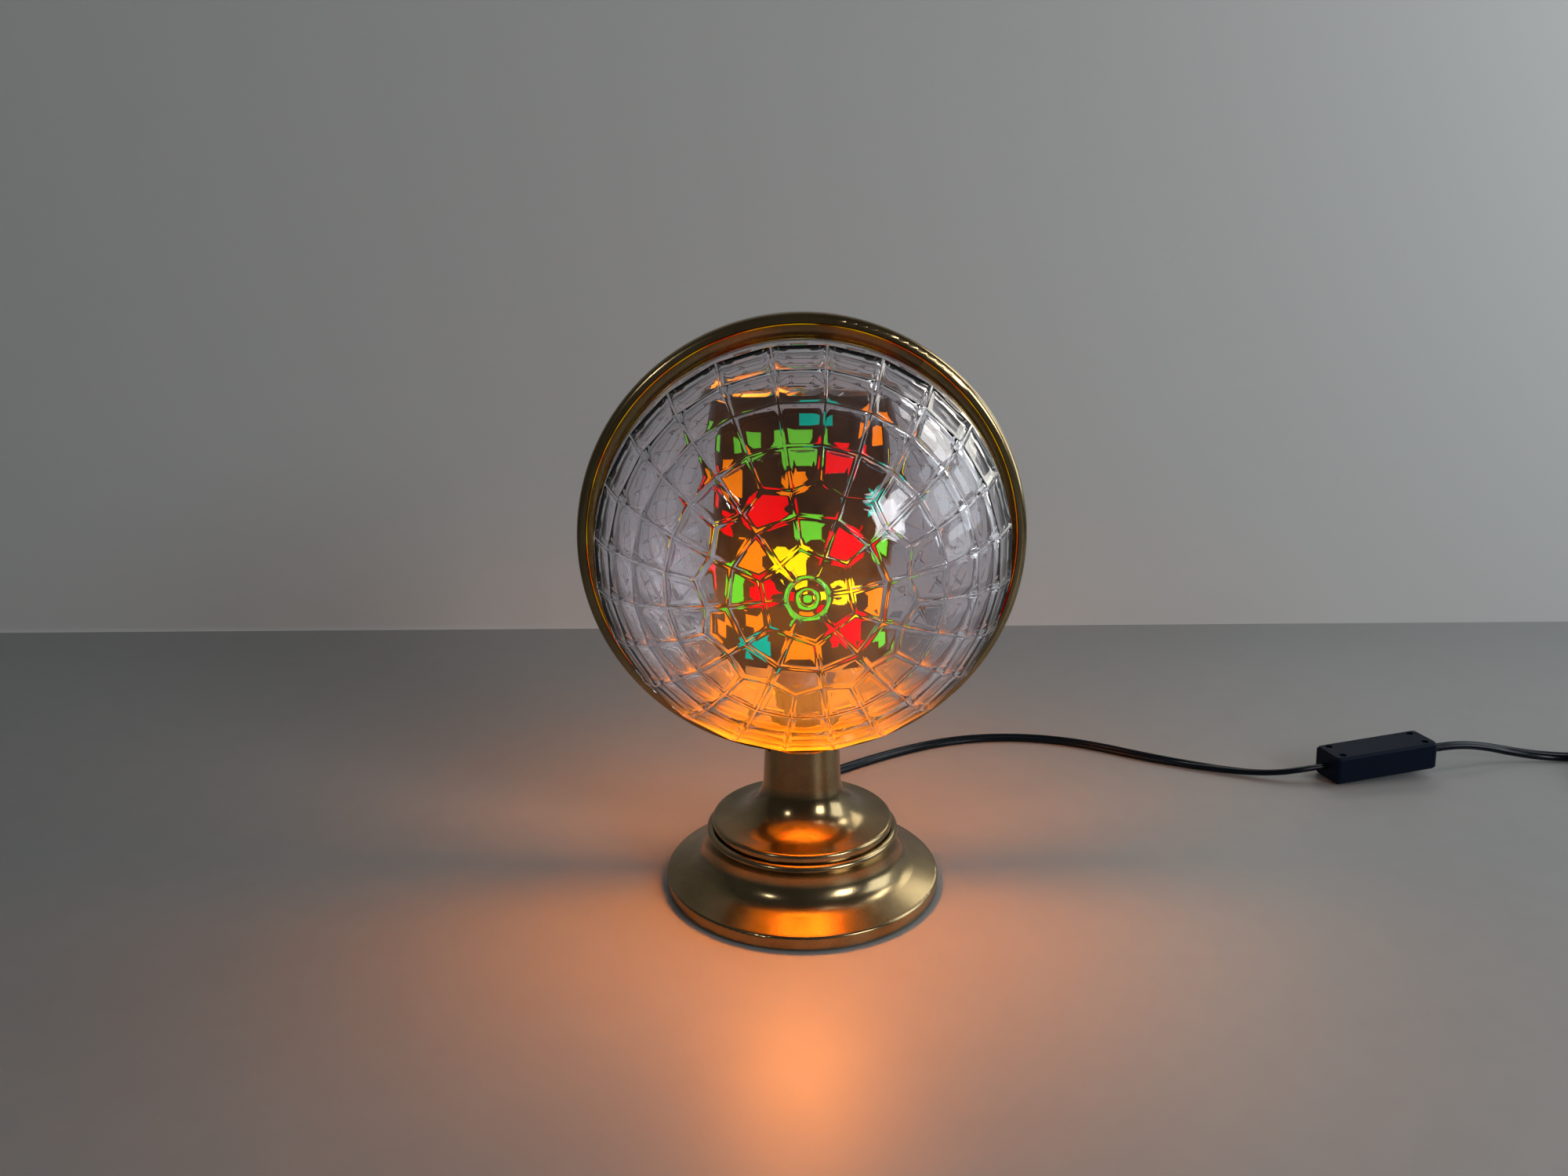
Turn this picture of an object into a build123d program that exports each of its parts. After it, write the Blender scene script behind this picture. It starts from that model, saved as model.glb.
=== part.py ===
"""Mood light: a faceted clear globe on a brass-plated foot, with a turning drum of coloured
windows inside and an in-line switch on its cord.

Millimetres, +Z up. The origin is the middle of the foot's underside on the table, and the front
of the globe looks along -Y.
"""

from build123d import *
from math import asin, cos, degrees, dist, pi, radians, sin, tan
import os

os.makedirs("parts", exist_ok=True)

# Foot, a spun brass-plated bell
foot_wall = 1.2
foot_height = 29.2
foot_step_radius = 39.6
foot_step_drop = 1.0
shoulder_radius = 43.5
shoulder_round = 2.2
neck_radius = 43.1
neck_height = 24.2
sweep_radius = 51.4
sweep_height = 9.8
rim_radius = 62.2
rim_round = 1.4
rim_top = 6.8
rim_bottom = 1.0
roll_share = 1 - sin(radians(45))

# Pedestal, a spun disc and stem
disc_radius = 40.8
disc_edge_height = 32.2
disc_round = 1.6
flare_radius = 34.0
flare_height = 32.7
stem_radius = 17.5
stem_flare_height = 50.0
stem_top_radius = 16.5
stem_bite = 3.4
stem_cap = 4.9
pedestal_wall = 1.2

# Globe ring and the hoop inside it
ring_radius = 95.0
ring_bottom = 64.8
ring_half_width = 8.5
ring_round = 3.0
ring_wall = 1.2
ring_lip_depth = 4.8
hoop_flange = 1.4
hoop_half_width = 5.4
hoop_web_depth = 8.8
hoop_web_half = 1.0

# Lenses, moulded hemispheres with rows of flat facets
lens_recess = 7.4
lens_setback = 5.0
lens_wall = 3.2
lens_flange = 1.6
lens_flange_length = 2.2
facet_edge_angle = 72.0
facet_reach = 6.0
pyramid_share = 0.98
knob_radius = 7.3
knob_proud = 0.7
knob_round = 0.5
gate_radius = 2.6
gate_depth = 0.6
lens_notch_width = 19.0
lens_notch_depth = 6.5

# Polar angle from the pole, facets in the row, azimuth of one facet, from the top clockwise
facet_rows = (
    (7.8, 6, -8.7),
    (14.2, 12, 6.3),
    (23.0, 12, 6.3),
    (30.0, 24, -1.2),
    (42.0, 24, -1.2),
    (54.0, 24, -1.2),
    (66.0, 24, -1.2),
)

# Lens clips
clip_angles = (36.0, 156.0, 276.0)
clip_width = 8.0
clip_sheet = 0.8
clip_tongue = 1.6
clip_air = 0.3

# Threaded tube, its nuts and the ballast that it clamps
tube_radius = 5.0
tube_bore = 3.6
tube_clearance = 0.3
tube_rise = 17.2
tube_end = 2.0
tube_chamfer = 0.5
nut_across_flats = 14.0
nut_height = 4.0
nut_chamfer = 0.4
ring_nut_gap = 0.05
ring_nut_height = 3.0
washer_radius = 11.0
washer_height = 1.2
ballast_clearance = 0.4
ballast_height = 11.5
ballast_round = 1.5
boss_radius = 4.2
boss_circle = 31.0
boss_count = 3
boss_first_angle = 30.0

# Bottom cover, its feet and screws
cover_height = 1.2
cover_thickness = 1.4
cover_clearance = 0.4
pad_radius = 6.0
pad_circle = 48.0
pad_count = 4
pad_first_angle = 45.0
pad_chamfer = 0.4
pad_sink = 0.4
screw_radius = 1.5
screw_head_radius = 2.9
screw_head_height = 1.0
screw_head_chamfer = 0.3
screw_length = 11.0
screw_slot = 0.6

# Lampholder and bulb
holder_rise = 12.4
holder_height = 28.0
holder_radius = 12.5
holder_entry_radius = 8.8
holder_floor = 6.8
holder_rib_count = 16
holder_rib_depth = 0.6
holder_rib_width = 1.6
holder_rib_corner = 0.5
holder_rib_base = 5.2
holder_rib_height = 12.0
shell_radius = 7.6
shell_wall = 0.5
shell_height = 18.0
contact_width = 4.0
contact_length = 11.0
contact_sheet = 0.5
contact_rise = 2.4
cap_radius = 6.95
cap_height = 19.0
cap_tip_radius = 2.2
cap_tip_height = 1.4
cap_bevel = 2.0
thread_pitch = 2.82
thread_start = 3.4
thread_depth = 0.5
thread_turns = 5
bulb_radius = 22.5
bulb_wall = 0.8
bulb_centre_height = 25.0
bulb_neck_radius = 7.6
bulb_neck_angle = 48.0
filament_wire = 0.35
filament_span = 15.0
filament_height = 4.0
filament_drop = 0.5
filament_sag = 4.0
filament_lean = 2.0
stem_glass_radius = 3.0
stem_glass_taper = 4.0
support_bury = 2.0

# Wire bridge and needle that carry the drum
wire_radius = 1.0
bridge_reach = 27.5
bridge_shoulder_rise = 60.8
bridge_top_rise = 74.8
bridge_flat = 5.0
bridge_bend = 6.0
collar_wall = 1.2
collar_height = 5.0
collar_drop = 1.2
needle_radius = 1.0
needle_length = 14.3
needle_point = 1.2
needle_seat_radius = 2.6
needle_seat_height = 2.4
needle_seat_chamfer = 0.8
needle_clearance = 0.06
needle_end_gap = 0.3

# Drum, its turbine cap, bottom hoop and coloured films
drum_radius = 38.0
drum_wall = 0.8
drum_skirt = 16.2
drum_lip = 1.2
window_repeats = 2
film_thickness = 0.25
film_margin = 0.8
cap_sheet = 1.2
cup_radius = 3.2
cup_roof = 1.6
cup_length = 8.5
hub_radius = 9.0
fan_rim_radius = 33.0
vane_count = 10
vane_angle = 35.0
vane_sheet = 0.6
vane_root_width = 4.0
vane_tip_width = 11.0
vane_bury = 1.0
drum_hoop_wall = 1.2
drum_hoop_height = 2.5

# Windows of half the drum, then the same again half a turn on: colour of the film, azimuth from the
# front towards +X, rise of the middle over the drum's lower edge, width and height
windows = (
    ("green", -4.0, 90.5, 14.0, 13.0),
    ("teal", 6.0, 102.0, 12.0, 6.0),
    ("amber", 50.0, 95.0, 12.0, 12.0),
    ("green", -34.0, 91.0, 11.0, 10.0),
    ("green", -72.0, 91.0, 12.0, 11.0),
    ("red", 22.0, 85.0, 10.0, 9.0),
    ("amber", -6.0, 77.5, 9.0, 8.0),
    ("amber", -49.0, 75.5, 12.0, 13.0),
    ("yellow", 78.0, 79.0, 11.0, 14.0),
    ("red", -23.0, 65.5, 17.0, 12.0),
    ("red", -73.0, 69.0, 10.0, 12.0),
    ("teal", 52.0, 67.0, 12.0, 12.0),
    ("green", 3.0, 59.0, 11.0, 9.0),
    ("red", -54.0, 58.0, 9.0, 10.0),
    ("amber", 80.0, 58.0, 10.0, 12.0),
    ("red", 28.0, 51.0, 15.0, 14.0),
    ("amber", -34.0, 48.0, 11.0, 12.0),
    ("yellow", -75.0, 50.0, 10.0, 10.0),
    ("yellow", -8.0, 45.5, 13.0, 12.0),
    ("green", 58.0, 46.0, 11.0, 12.0),
    ("red", -27.0, 32.0, 12.0, 10.0),
    ("yellow", 28.0, 32.0, 10.0, 10.0),
    ("red", -78.0, 32.0, 11.0, 12.0),
    ("green", -50.0, 30.5, 12.0, 12.0),
    ("green", 2.0, 28.0, 15.0, 13.0),
    ("teal", 79.0, 29.0, 10.0, 12.0),
    ("amber", 54.0, 26.0, 12.0, 12.0),
    ("amber", -33.0, 19.0, 10.0, 6.0),
    ("red", 29.0, 15.0, 15.0, 12.0),
    ("amber", -66.0, 12.0, 13.0, 9.0),
    ("amber", 0.0, 9.5, 15.0, 11.0),
    ("green", 64.0, 8.0, 12.0, 9.0),
    ("teal", -31.0, 7.5, 13.0, 8.0),
)

# Flat twin cord, taken as a round tube of the cord's width
cord_radius = 2.6
cord_bend_share = 0.45
cord_section = pi * cord_radius**2

# Gland in the back of the rim, and the two wires that go on inside
gland_middle = 4.2
gland_width = 8.4
gland_height = 6.0
gland_inside = 5.2
gland_body = 1.2
gland_sleeve = 3.6
gland_sleeve_radius = 3.6
gland_sleeve_taper = 8.0
gland_corner = 1.8
wire_core_radius = 0.9
wire_core_gap = 0.06
wire_core_clearance = 0.2
wire_spread = 1.2
wire_bend = 5.4

# In-line switch, which lies on its rocker side
switch_left_end = (289.0, 101.0, 8.1)
switch_yaw = 10.5
switch_tilt = 4.2
switch_length = 62.0
switch_width = 20.0
switch_front_height = 7.5
switch_back_height = 8.0
switch_corner = 3.0
switch_edge = 1.3
switch_screw_recess = 1.9
switch_screw_depth = 2.4
switch_screw_inset = 4.0
switch_screw_end_inset = 6.0
switch_screw_head = 1.8
switch_screw_head_height = 1.0
switch_screw_radius = 1.1
switch_screw_length = 9.0
rocker_half_length = 9.6
rocker_half_width = 4.2
rocker_slot_gap = 0.8
rocker_side_gap = 0.4
rocker_proud = 0.9
rocker_valley = 0.4
rocker_pivot_height = 3.2
rocker_back_half = 5.0
rocker_back_height = 2.4
rocker_tilt = 6.0
rocker_pin_radius = 1.0
rocker_pin_reach = 6.4
rocker_pin_clearance = 0.05
rocker_cavity = 6.4

# Route of the cord from the gland to the switch, chosen by hand
switch_route = (
    (0, 67.0, 4.2),
    (0, 76.5, 4.2),
    (4.5, 91.5, 3.1),
    (16.5, 107.5, 2.6),
    (35, 122, 2.6),
    (57, 137, 2.6),
    (80, 149.5, 2.6),
    (102, 156.5, 2.6),
    (123, 158.5, 2.6),
    (143, 156.5, 2.6),
    (162, 150.5, 2.6),
    (179, 141.5, 2.6),
    (197, 129.5, 2.6),
    (215, 119.5, 2.6),
    (233, 111.5, 2.6),
    (249, 105, 2.8),
    (263.5, 100.2, 4.6),
    (277.23, 98.82, 7.22),
    (289, 101, 8.1),
)

# Route from the switch to the coil, and from the coil to the plug
plug_route = (
    (349.8, 112.27, 12.64),
    (360.58, 114.27, 13.45),
    (374.5, 117.6, 12.8),
    (389.5, 121.2, 10.0),
    (404.5, 123.4, 6.2),
    (421, 123.4, 3.5),
    (438, 122.2, 2.7),
    (455, 121, 3.5),
    (464.8, 121, 3.5),
)
tail_route = (
    (507, 73.1, 9.2),
    (507, 63, 9.2),
    (506.2, 50, 8.2),
    (505.6, 38, 7.0),
    (505.6, 28, 7.0),
)

# Put-away coil: half turns that tighten layer by layer, then widen again on top
coil_centre = (470.0, 84.0)
coil_radius = 37.0
coil_gap = 0.5
coil_half_turns = 7
coil_samples = 1200
tie_thickness = 0.6
tie_width = 6.0
tie_air = 0.3
tie_corner = 2.5

# Flat two-pin plug
plug_length = 35.0
plug_face_width = 35.3
plug_waist_width = 26.0
plug_height = 14.0
plug_neck_width = 15.0
plug_neck_height = 11.0
plug_neck_share = 0.25
plug_waist_share = 0.6
plug_tail_width = 9.0
plug_tail_height = 8.4
plug_corner = 3.0
pin_radius = 2.0
pin_length = 19.0
pin_spacing = 18.6
pin_root = 6.0
pin_round = 1.2

# Values that follow from the ones above
globe_height = ring_bottom + ring_radius
ring_lip_radius = ring_radius - ring_lip_depth
hoop_web_radius = ring_radius - hoop_web_depth
lens_radius = ring_radius - lens_recess
stem_top = ring_bottom + stem_bite
tube_top = ring_bottom + tube_rise
holder_base = ring_bottom + holder_rise
facet_distance = lens_radius * cos(radians(facet_reach))
lens_inner = lens_radius - lens_wall
lens_face = hoop_web_half
hoop_outer = ring_radius - ring_wall
hoop_bore = hoop_outer - hoop_flange
nut_corner = nut_across_flats / 2 / cos(radians(30))
ring_nut_base = globe_height - (hoop_bore**2 - nut_corner**2) ** 0.5 + ring_nut_gap
ballast_top = foot_height - foot_wall
ballast_radius = foot_step_radius - foot_wall - ballast_clearance
ballast_base = ballast_top - ballast_height
cover_top = cover_height + cover_thickness
washer_base = ballast_base - washer_height
base_nut_base = washer_base - nut_height
tube_base = base_nut_base - tube_end
holder_top = holder_base + holder_height
cap_base = holder_base + holder_floor + cap_tip_height + contact_sheet + contact_rise
bulb_centre = holder_top + bulb_centre_height
bridge_shoulder = bulb_centre + bridge_shoulder_rise
bridge_top = bulb_centre + bridge_top_rise
needle_tip = bridge_top + wire_radius + needle_length
drum_inner = drum_radius - drum_wall
drum_bottom = bulb_centre - drum_skirt
cup_top = needle_tip + needle_end_gap + cup_roof
cap_plane = cup_top - cup_roof
drum_height = cap_plane + cap_sheet + drum_lip - drum_bottom
coil_pitch = 2 * cord_radius + coil_gap
coil_low = cord_radius + tie_thickness + tie_air
coil_high = coil_low + coil_pitch
globe_axis = Axis((0, 0, globe_height), (0, 1, 0))


def save(builder, name):
    """Label a finished piece and write it."""
    builder.part.label = name
    export_step(builder.part, f"parts/{name}.step")


def hexagon_nut(base, height, bore):
    """Upright hexagon nut with chamfered corners, flats towards front and back."""
    with BuildPart() as nut:
        with BuildSketch(Plane.XY.offset(base)):
            RegularPolygon(nut_corner, 6)
            Circle(bore, mode=Mode.SUBTRACT)
        extrude(amount=height)
        chamfer(nut.edges().filter_by(Plane.XY).group_by(Axis.Z)[-1].filter_by(GeomType.LINE), nut_chamfer)
    return nut


# Foot
with BuildPart() as foot:
    with BuildSketch(Plane.XZ):
        with BuildLine():
            plate = Polyline(
                (tube_radius + tube_clearance, foot_height),
                (foot_step_radius, foot_height),
                (foot_step_radius, foot_height - foot_step_drop),
                (shoulder_radius - shoulder_round, foot_height - foot_step_drop),
            )
            shoulder = TangentArc(
                plate @ 1,
                (shoulder_radius, foot_height - foot_step_drop - shoulder_round),
                tangent=(1, 0),
            )
            side = Line(shoulder @ 1, (neck_radius, neck_height))
            bell = TangentArc(side @ 1, (sweep_radius, sweep_height), tangent=side % 1)
            apron = Line(bell @ 1, (rim_radius - rim_round, rim_top))
            roll = ThreePointArc(
                apron @ 1,
                (rim_radius - rim_round * roll_share, rim_top - rim_round * roll_share),
                (rim_radius, rim_top - rim_round),
            )
            Line(roll @ 1, (rim_radius, rim_bottom))
            offset(amount=foot_wall, side=Side.RIGHT, closed=True, kind=Kind.INTERSECTION)
        make_face()
    revolve(axis=Axis.Z)
    with BuildSketch(Plane.XZ.offset(-rim_radius + gland_inside)):
        Rectangle(gland_width, 2 * (gland_middle + gland_height / 2))
    extrude(amount=-2 * gland_inside, mode=Mode.SUBTRACT)
save(foot, "foot")

# Pedestal, closed at the top by a cap with a saddle for the ring
with BuildPart() as pedestal:
    with BuildSketch(Plane.XZ):
        with BuildLine():
            stem = Line((stem_top_radius, stem_top), (stem_radius, stem_flare_height))
            flare = TangentArc(stem @ 1, (flare_radius, flare_height), tangent=stem % 1)
            dish = Line(flare @ 1, (disc_radius - disc_round, disc_edge_height))
            lip = TangentArc(dish @ 1, (disc_radius, disc_edge_height - disc_round), tangent=(1, 0))
            Line(lip @ 1, (disc_radius, foot_height))
            offset(amount=pedestal_wall, side=Side.RIGHT, closed=True, kind=Kind.INTERSECTION)
        make_face()
    revolve(axis=Axis.Z)
    with BuildSketch(Plane.XY.offset(stem_top - stem_cap)):
        Circle(stem_top_radius - pedestal_wall / 2)
        Circle(tube_radius + tube_clearance, mode=Mode.SUBTRACT)
    extrude(amount=stem_cap - pedestal_wall / 2)
    with BuildSketch(Plane.XZ):
        with Locations((0, globe_height)):
            Circle(ring_radius)
    extrude(amount=ring_half_width, both=True, mode=Mode.SUBTRACT)
save(pedestal, "pedestal")

# Ballast with bosses for the cover screws
with BuildPart() as ballast:
    with BuildSketch(Plane.XY.offset(ballast_base)):
        Circle(ballast_radius)
        Circle(tube_radius + tube_clearance, mode=Mode.SUBTRACT)
    extrude(amount=ballast_height)
    fillet(ballast.edges().group_by(Axis.Z)[0].sort_by(SortBy.RADIUS)[-1], ballast_round)
    with BuildSketch(Plane.XY.offset(cover_top)):
        with PolarLocations(boss_circle, boss_count, boss_first_angle):
            Circle(boss_radius)
    extrude(until=Until.NEXT)
    with BuildSketch(Plane.XY.offset(cover_top)):
        with PolarLocations(boss_circle, boss_count, boss_first_angle):
            Circle(screw_radius)
    extrude(amount=screw_length, mode=Mode.SUBTRACT)
save(ballast, "ballast")

# Bottom cover, with pockets for the pads
cover_radius = rim_radius - foot_wall - cover_clearance
with BuildPart() as bottom_cover:
    with BuildSketch(Plane.XY.offset(cover_height)):
        Circle(cover_radius)
        with PolarLocations(boss_circle, boss_count, boss_first_angle):
            Circle(screw_radius, mode=Mode.SUBTRACT)
    extrude(amount=cover_thickness)
    with BuildSketch(Plane.XY.offset(cover_height)):
        with PolarLocations(pad_circle, pad_count, pad_first_angle):
            Circle(pad_radius)
    extrude(amount=pad_sink, mode=Mode.SUBTRACT)
    with BuildSketch(Plane.XY.offset(cover_height)):
        with Locations((0, cover_radius)):
            Rectangle(gland_width, 2 * gland_inside)
    extrude(amount=cover_thickness, mode=Mode.SUBTRACT)
save(bottom_cover, "bottom_cover")

with BuildPart() as foot_pads:
    with BuildSketch(Plane.XY):
        with PolarLocations(pad_circle, pad_count, pad_first_angle):
            Circle(pad_radius)
    extrude(amount=cover_height + pad_sink)
    chamfer(foot_pads.edges().group_by(Axis.Z)[0], pad_chamfer)
save(foot_pads, "foot_pads")

# Pan-head screws with a slot
with BuildPart() as cover_screws:
    with BuildSketch(Plane.XY.offset(cover_height - screw_head_height)):
        with PolarLocations(boss_circle, boss_count, boss_first_angle):
            Circle(screw_head_radius)
    extrude(amount=screw_head_height)
    chamfer(cover_screws.edges().group_by(Axis.Z)[0], screw_head_chamfer)
    with BuildSketch(Plane.XY.offset(cover_height)):
        with PolarLocations(boss_circle, boss_count, boss_first_angle):
            Circle(screw_radius)
    extrude(amount=cover_thickness + screw_length)
    with BuildSketch(Plane.XY.offset(cover_height - screw_head_height)):
        with PolarLocations(boss_circle, boss_count, boss_first_angle):
            Rectangle(2 * screw_head_radius, screw_slot)
    extrude(amount=screw_slot, mode=Mode.SUBTRACT)
save(cover_screws, "cover_screws")

# Threaded tube with its washer and nuts
with BuildPart() as threaded_tube:
    with BuildSketch(Plane.XY.offset(tube_base)):
        Circle(tube_radius)
        Circle(tube_bore, mode=Mode.SUBTRACT)
    extrude(amount=tube_top - tube_base)
    chamfer(threaded_tube.edges().filter_by(GeomType.CIRCLE).sort_by(SortBy.RADIUS)[-2:], tube_chamfer)
save(threaded_tube, "threaded_tube")

with BuildPart() as base_washer:
    with BuildSketch(Plane.XY.offset(washer_base)):
        Circle(washer_radius)
        Circle(tube_radius, mode=Mode.SUBTRACT)
    extrude(amount=washer_height)
save(base_washer, "base_washer")

base_nut = hexagon_nut(base_nut_base, nut_height, tube_radius)
save(base_nut, "base_nut")

ring_nut = hexagon_nut(ring_nut_base, ring_nut_height, tube_radius)
save(ring_nut, "ring_nut")

# Globe ring, a rolled brass-plated band with two turned-in lips
with BuildPart() as globe_ring:
    with BuildSketch(Plane.YZ):
        with BuildLine():
            front_lip = Line(
                (-ring_half_width, globe_height + ring_lip_radius),
                (-ring_half_width, globe_height + ring_radius - ring_round),
            )
            front_roll = TangentArc(
                front_lip @ 1,
                (-ring_half_width + ring_round, globe_height + ring_radius),
                tangent=(0, 1),
            )
            band = Line(front_roll @ 1, (ring_half_width - ring_round, globe_height + ring_radius))
            rear_roll = TangentArc(
                band @ 1,
                (ring_half_width, globe_height + ring_radius - ring_round),
                tangent=(1, 0),
            )
            Line(rear_roll @ 1, (ring_half_width, globe_height + ring_lip_radius))
            offset(amount=ring_wall, side=Side.RIGHT, closed=True, kind=Kind.INTERSECTION)
        make_face()
    revolve(axis=globe_axis)
    with BuildSketch(Plane.XY):
        Circle(tube_radius + tube_clearance)
    extrude(amount=globe_height, mode=Mode.SUBTRACT)
save(globe_ring, "globe_ring")

# Inner hoop that both lenses rest against, its web cut away round the tube's nut
with BuildPart() as seat_hoop:
    with BuildSketch(Plane.YZ):
        with Locations((0, globe_height + (hoop_bore + hoop_web_radius) / 2)):
            Rectangle(2 * hoop_web_half, hoop_bore - hoop_web_radius)
    revolve(axis=globe_axis)
    with BuildSketch(Plane.XY):
        Rectangle(lens_notch_width, 2 * hoop_half_width)
    extrude(amount=globe_height, mode=Mode.SUBTRACT)
    with BuildSketch(Plane.YZ):
        with Locations((0, globe_height + (hoop_outer + hoop_bore) / 2)):
            Rectangle(2 * hoop_half_width, hoop_flange)
    revolve(axis=globe_axis)
    with BuildSketch(Plane.XY):
        Circle(tube_radius + tube_clearance)
    extrude(amount=globe_height, mode=Mode.SUBTRACT)
save(seat_hoop, "seat_hoop")

# Front lens: a dome cut by one many-sided pyramid for each row of facets, every facet at the
# same distance from the dome's centre. The plain band below them keeps the dome's own curve.
band_angle = radians(facet_edge_angle)
band_point = (
    -lens_setback - lens_radius * cos(band_angle),
    globe_height + lens_radius * sin(band_angle),
)
peak_point = (-lens_setback - lens_radius / cos(band_angle), globe_height)
with BuildPart() as front_lens:
    with BuildSketch(Plane.YZ):
        with BuildLine():
            base = Line((-lens_setback, globe_height), (-lens_setback, globe_height + lens_radius))
            band = TangentArc(base @ 1, band_point, tangent=(-1, 0))
            Polyline(band_point, peak_point, base @ 0)
        make_face()
    revolve(axis=globe_axis)
    for polar, facets, azimuth in facet_rows:
        slope = radians(polar)
        base_inradius = facet_distance / sin(slope)
        height = facet_distance / cos(slope)
        turn = 90 - azimuth - 180 / facets
        with BuildSketch(Plane.XZ.offset(lens_setback)):
            with Locations((0, globe_height)):
                RegularPolygon(base_inradius, facets, major_radius=False, rotation=turn)
        with BuildSketch(Plane.XZ.offset(lens_setback + pyramid_share * height)):
            with Locations((0, globe_height)):
                RegularPolygon(
                    (1 - pyramid_share) * base_inradius, facets, major_radius=False, rotation=turn
                )
        loft(ruled=True, mode=Mode.INTERSECT)
    with BuildSketch(Plane.XZ.offset(lens_setback)):
        with Locations((0, globe_height)):
            Circle(knob_radius)
    extrude(amount=facet_distance + knob_proud)
    fillet(front_lens.edges().filter_by(GeomType.CIRCLE).group_by(Axis.Y)[0], knob_round)
    with BuildSketch(Plane.XZ.offset(lens_setback + facet_distance + knob_proud - gate_depth)):
        with Locations((0, globe_height)):
            Circle(gate_radius)
    extrude(amount=gate_depth, mode=Mode.SUBTRACT)
    with BuildSketch(Plane.XZ.offset(lens_face)):
        with Locations((0, globe_height)):
            Circle(lens_radius)
    extrude(amount=lens_setback - lens_face)
    with BuildSketch(Plane.XZ.offset(lens_face)):
        with Locations((0, globe_height)):
            Circle(lens_radius + lens_flange)
    extrude(amount=lens_flange_length)
    with BuildSketch(Plane.YZ):
        with BuildLine():
            hollow = Polyline(
                (-lens_setback - lens_inner, globe_height),
                (0, globe_height),
                (0, globe_height + lens_inner),
                (-lens_setback, globe_height + lens_inner),
            )
            TangentArc(hollow @ 1, hollow @ 0, tangent=(-1, 0))
        make_face()
    revolve(axis=globe_axis, mode=Mode.SUBTRACT)
    with BuildSketch(Plane.XY):
        Rectangle(lens_notch_width, 2 * (lens_face + lens_notch_depth))
    extrude(amount=holder_base, mode=Mode.SUBTRACT)
save(front_lens, "front_lens")

# The rear lens is a second moulding of the same shape, turned round
with BuildPart() as rear_lens:
    add(front_lens.part.rotate(Axis.Z, 180))
save(rear_lens, "rear_lens")

# Spring clips on the hoop that hook over the lens flanges, three to a lens
clip_inner = lens_radius + lens_flange - clip_tongue
clip_foot = lens_radius + lens_flange + clip_air
clip_reach = lens_face + lens_flange_length + clip_air + clip_sheet
with BuildPart() as clip:
    with BuildSketch(Plane.YZ):
        with BuildLine():
            Polyline(
                (-lens_face, globe_height + clip_foot),
                (-clip_reach + clip_sheet, globe_height + clip_foot),
                (-clip_reach + clip_sheet, globe_height + clip_inner),
                (-clip_reach, globe_height + clip_inner),
                (-clip_reach, globe_height + clip_foot + clip_sheet),
                (-lens_face, globe_height + clip_foot + clip_sheet),
                close=True,
            )
        make_face()
    extrude(amount=clip_width / 2, both=True)
with BuildPart() as lens_clips:
    for angle in clip_angles:
        front_clip = clip.part.rotate(globe_axis, angle)
        add(front_clip)
        add(front_clip.rotate(Axis.Z, 180))
save(lens_clips, "lens_clips")

# Lampholder, a ribbed moulded body
with BuildPart() as lampholder:
    with BuildSketch(Plane.XZ):
        with BuildLine():
            Polyline(
                (tube_radius, holder_base),
                (holder_entry_radius, holder_base),
                (holder_radius, holder_base + holder_radius - holder_entry_radius),
                (holder_radius, holder_top),
                (shell_radius, holder_top),
                (shell_radius, holder_base + holder_floor),
                (tube_radius, holder_base + holder_floor),
                close=True,
            )
        make_face()
    revolve(axis=Axis.Z)
    with BuildSketch(Plane.XY.offset(holder_base + holder_rib_base)):
        with PolarLocations(holder_radius, holder_rib_count):
            RectangleRounded(2 * holder_rib_depth, holder_rib_width, holder_rib_corner)
    extrude(amount=holder_rib_height, mode=Mode.SUBTRACT)
save(lampholder, "lampholder")

with BuildPart() as socket_shell:
    with BuildSketch(Plane.XY.offset(holder_top - shell_height)):
        Circle(shell_radius)
        Circle(shell_radius - shell_wall, mode=Mode.SUBTRACT)
    extrude(amount=shell_height)
save(socket_shell, "socket_shell")

# Sprung centre contact, a bent strip on the lampholder's floor
contact_low = holder_base + holder_floor
with BuildPart() as centre_contact:
    with BuildSketch(Plane.XZ):
        with BuildLine():
            strip = Polyline(
                (contact_length / 2, contact_low),
                (-contact_length / 2, contact_low),
                (-contact_length / 2, contact_low + contact_sheet),
                (contact_length / 4, contact_low + contact_sheet),
                (-contact_length / 4, contact_low + contact_rise),
                (-contact_length / 4, contact_low + contact_rise + contact_sheet),
                (contact_length / 4, contact_low + contact_rise + contact_sheet),
                (contact_length / 2, contact_low + contact_sheet),
                close=True,
            )
        make_face()
    extrude(amount=contact_width / 2, both=True)
save(centre_contact, "centre_contact")

# Bulb: a screw cap with a soldered tip, a thin glass envelope, and the filament on its mount
cap_top = cap_base + cap_height
with BuildPart() as bulb_cap:
    with BuildSketch(Plane.XZ):
        with BuildLine():
            Polyline(
                (0, cap_base - cap_tip_height),
                (cap_tip_radius, cap_base - cap_tip_height),
                (cap_tip_radius, cap_base),
                (cap_radius - cap_bevel, cap_base),
                (cap_radius, cap_base + cap_bevel),
                (cap_radius, cap_top),
                (0, cap_top),
                close=True,
            )
        make_face()
    revolve(axis=Axis.Z)
    for turn in range(thread_turns):
        with BuildSketch(Plane.XZ):
            with Locations((cap_radius, cap_base + thread_start + turn * thread_pitch)):
                Circle(thread_depth)
        revolve(axis=Axis.Z, mode=Mode.SUBTRACT)
save(bulb_cap, "bulb_cap")

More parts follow.
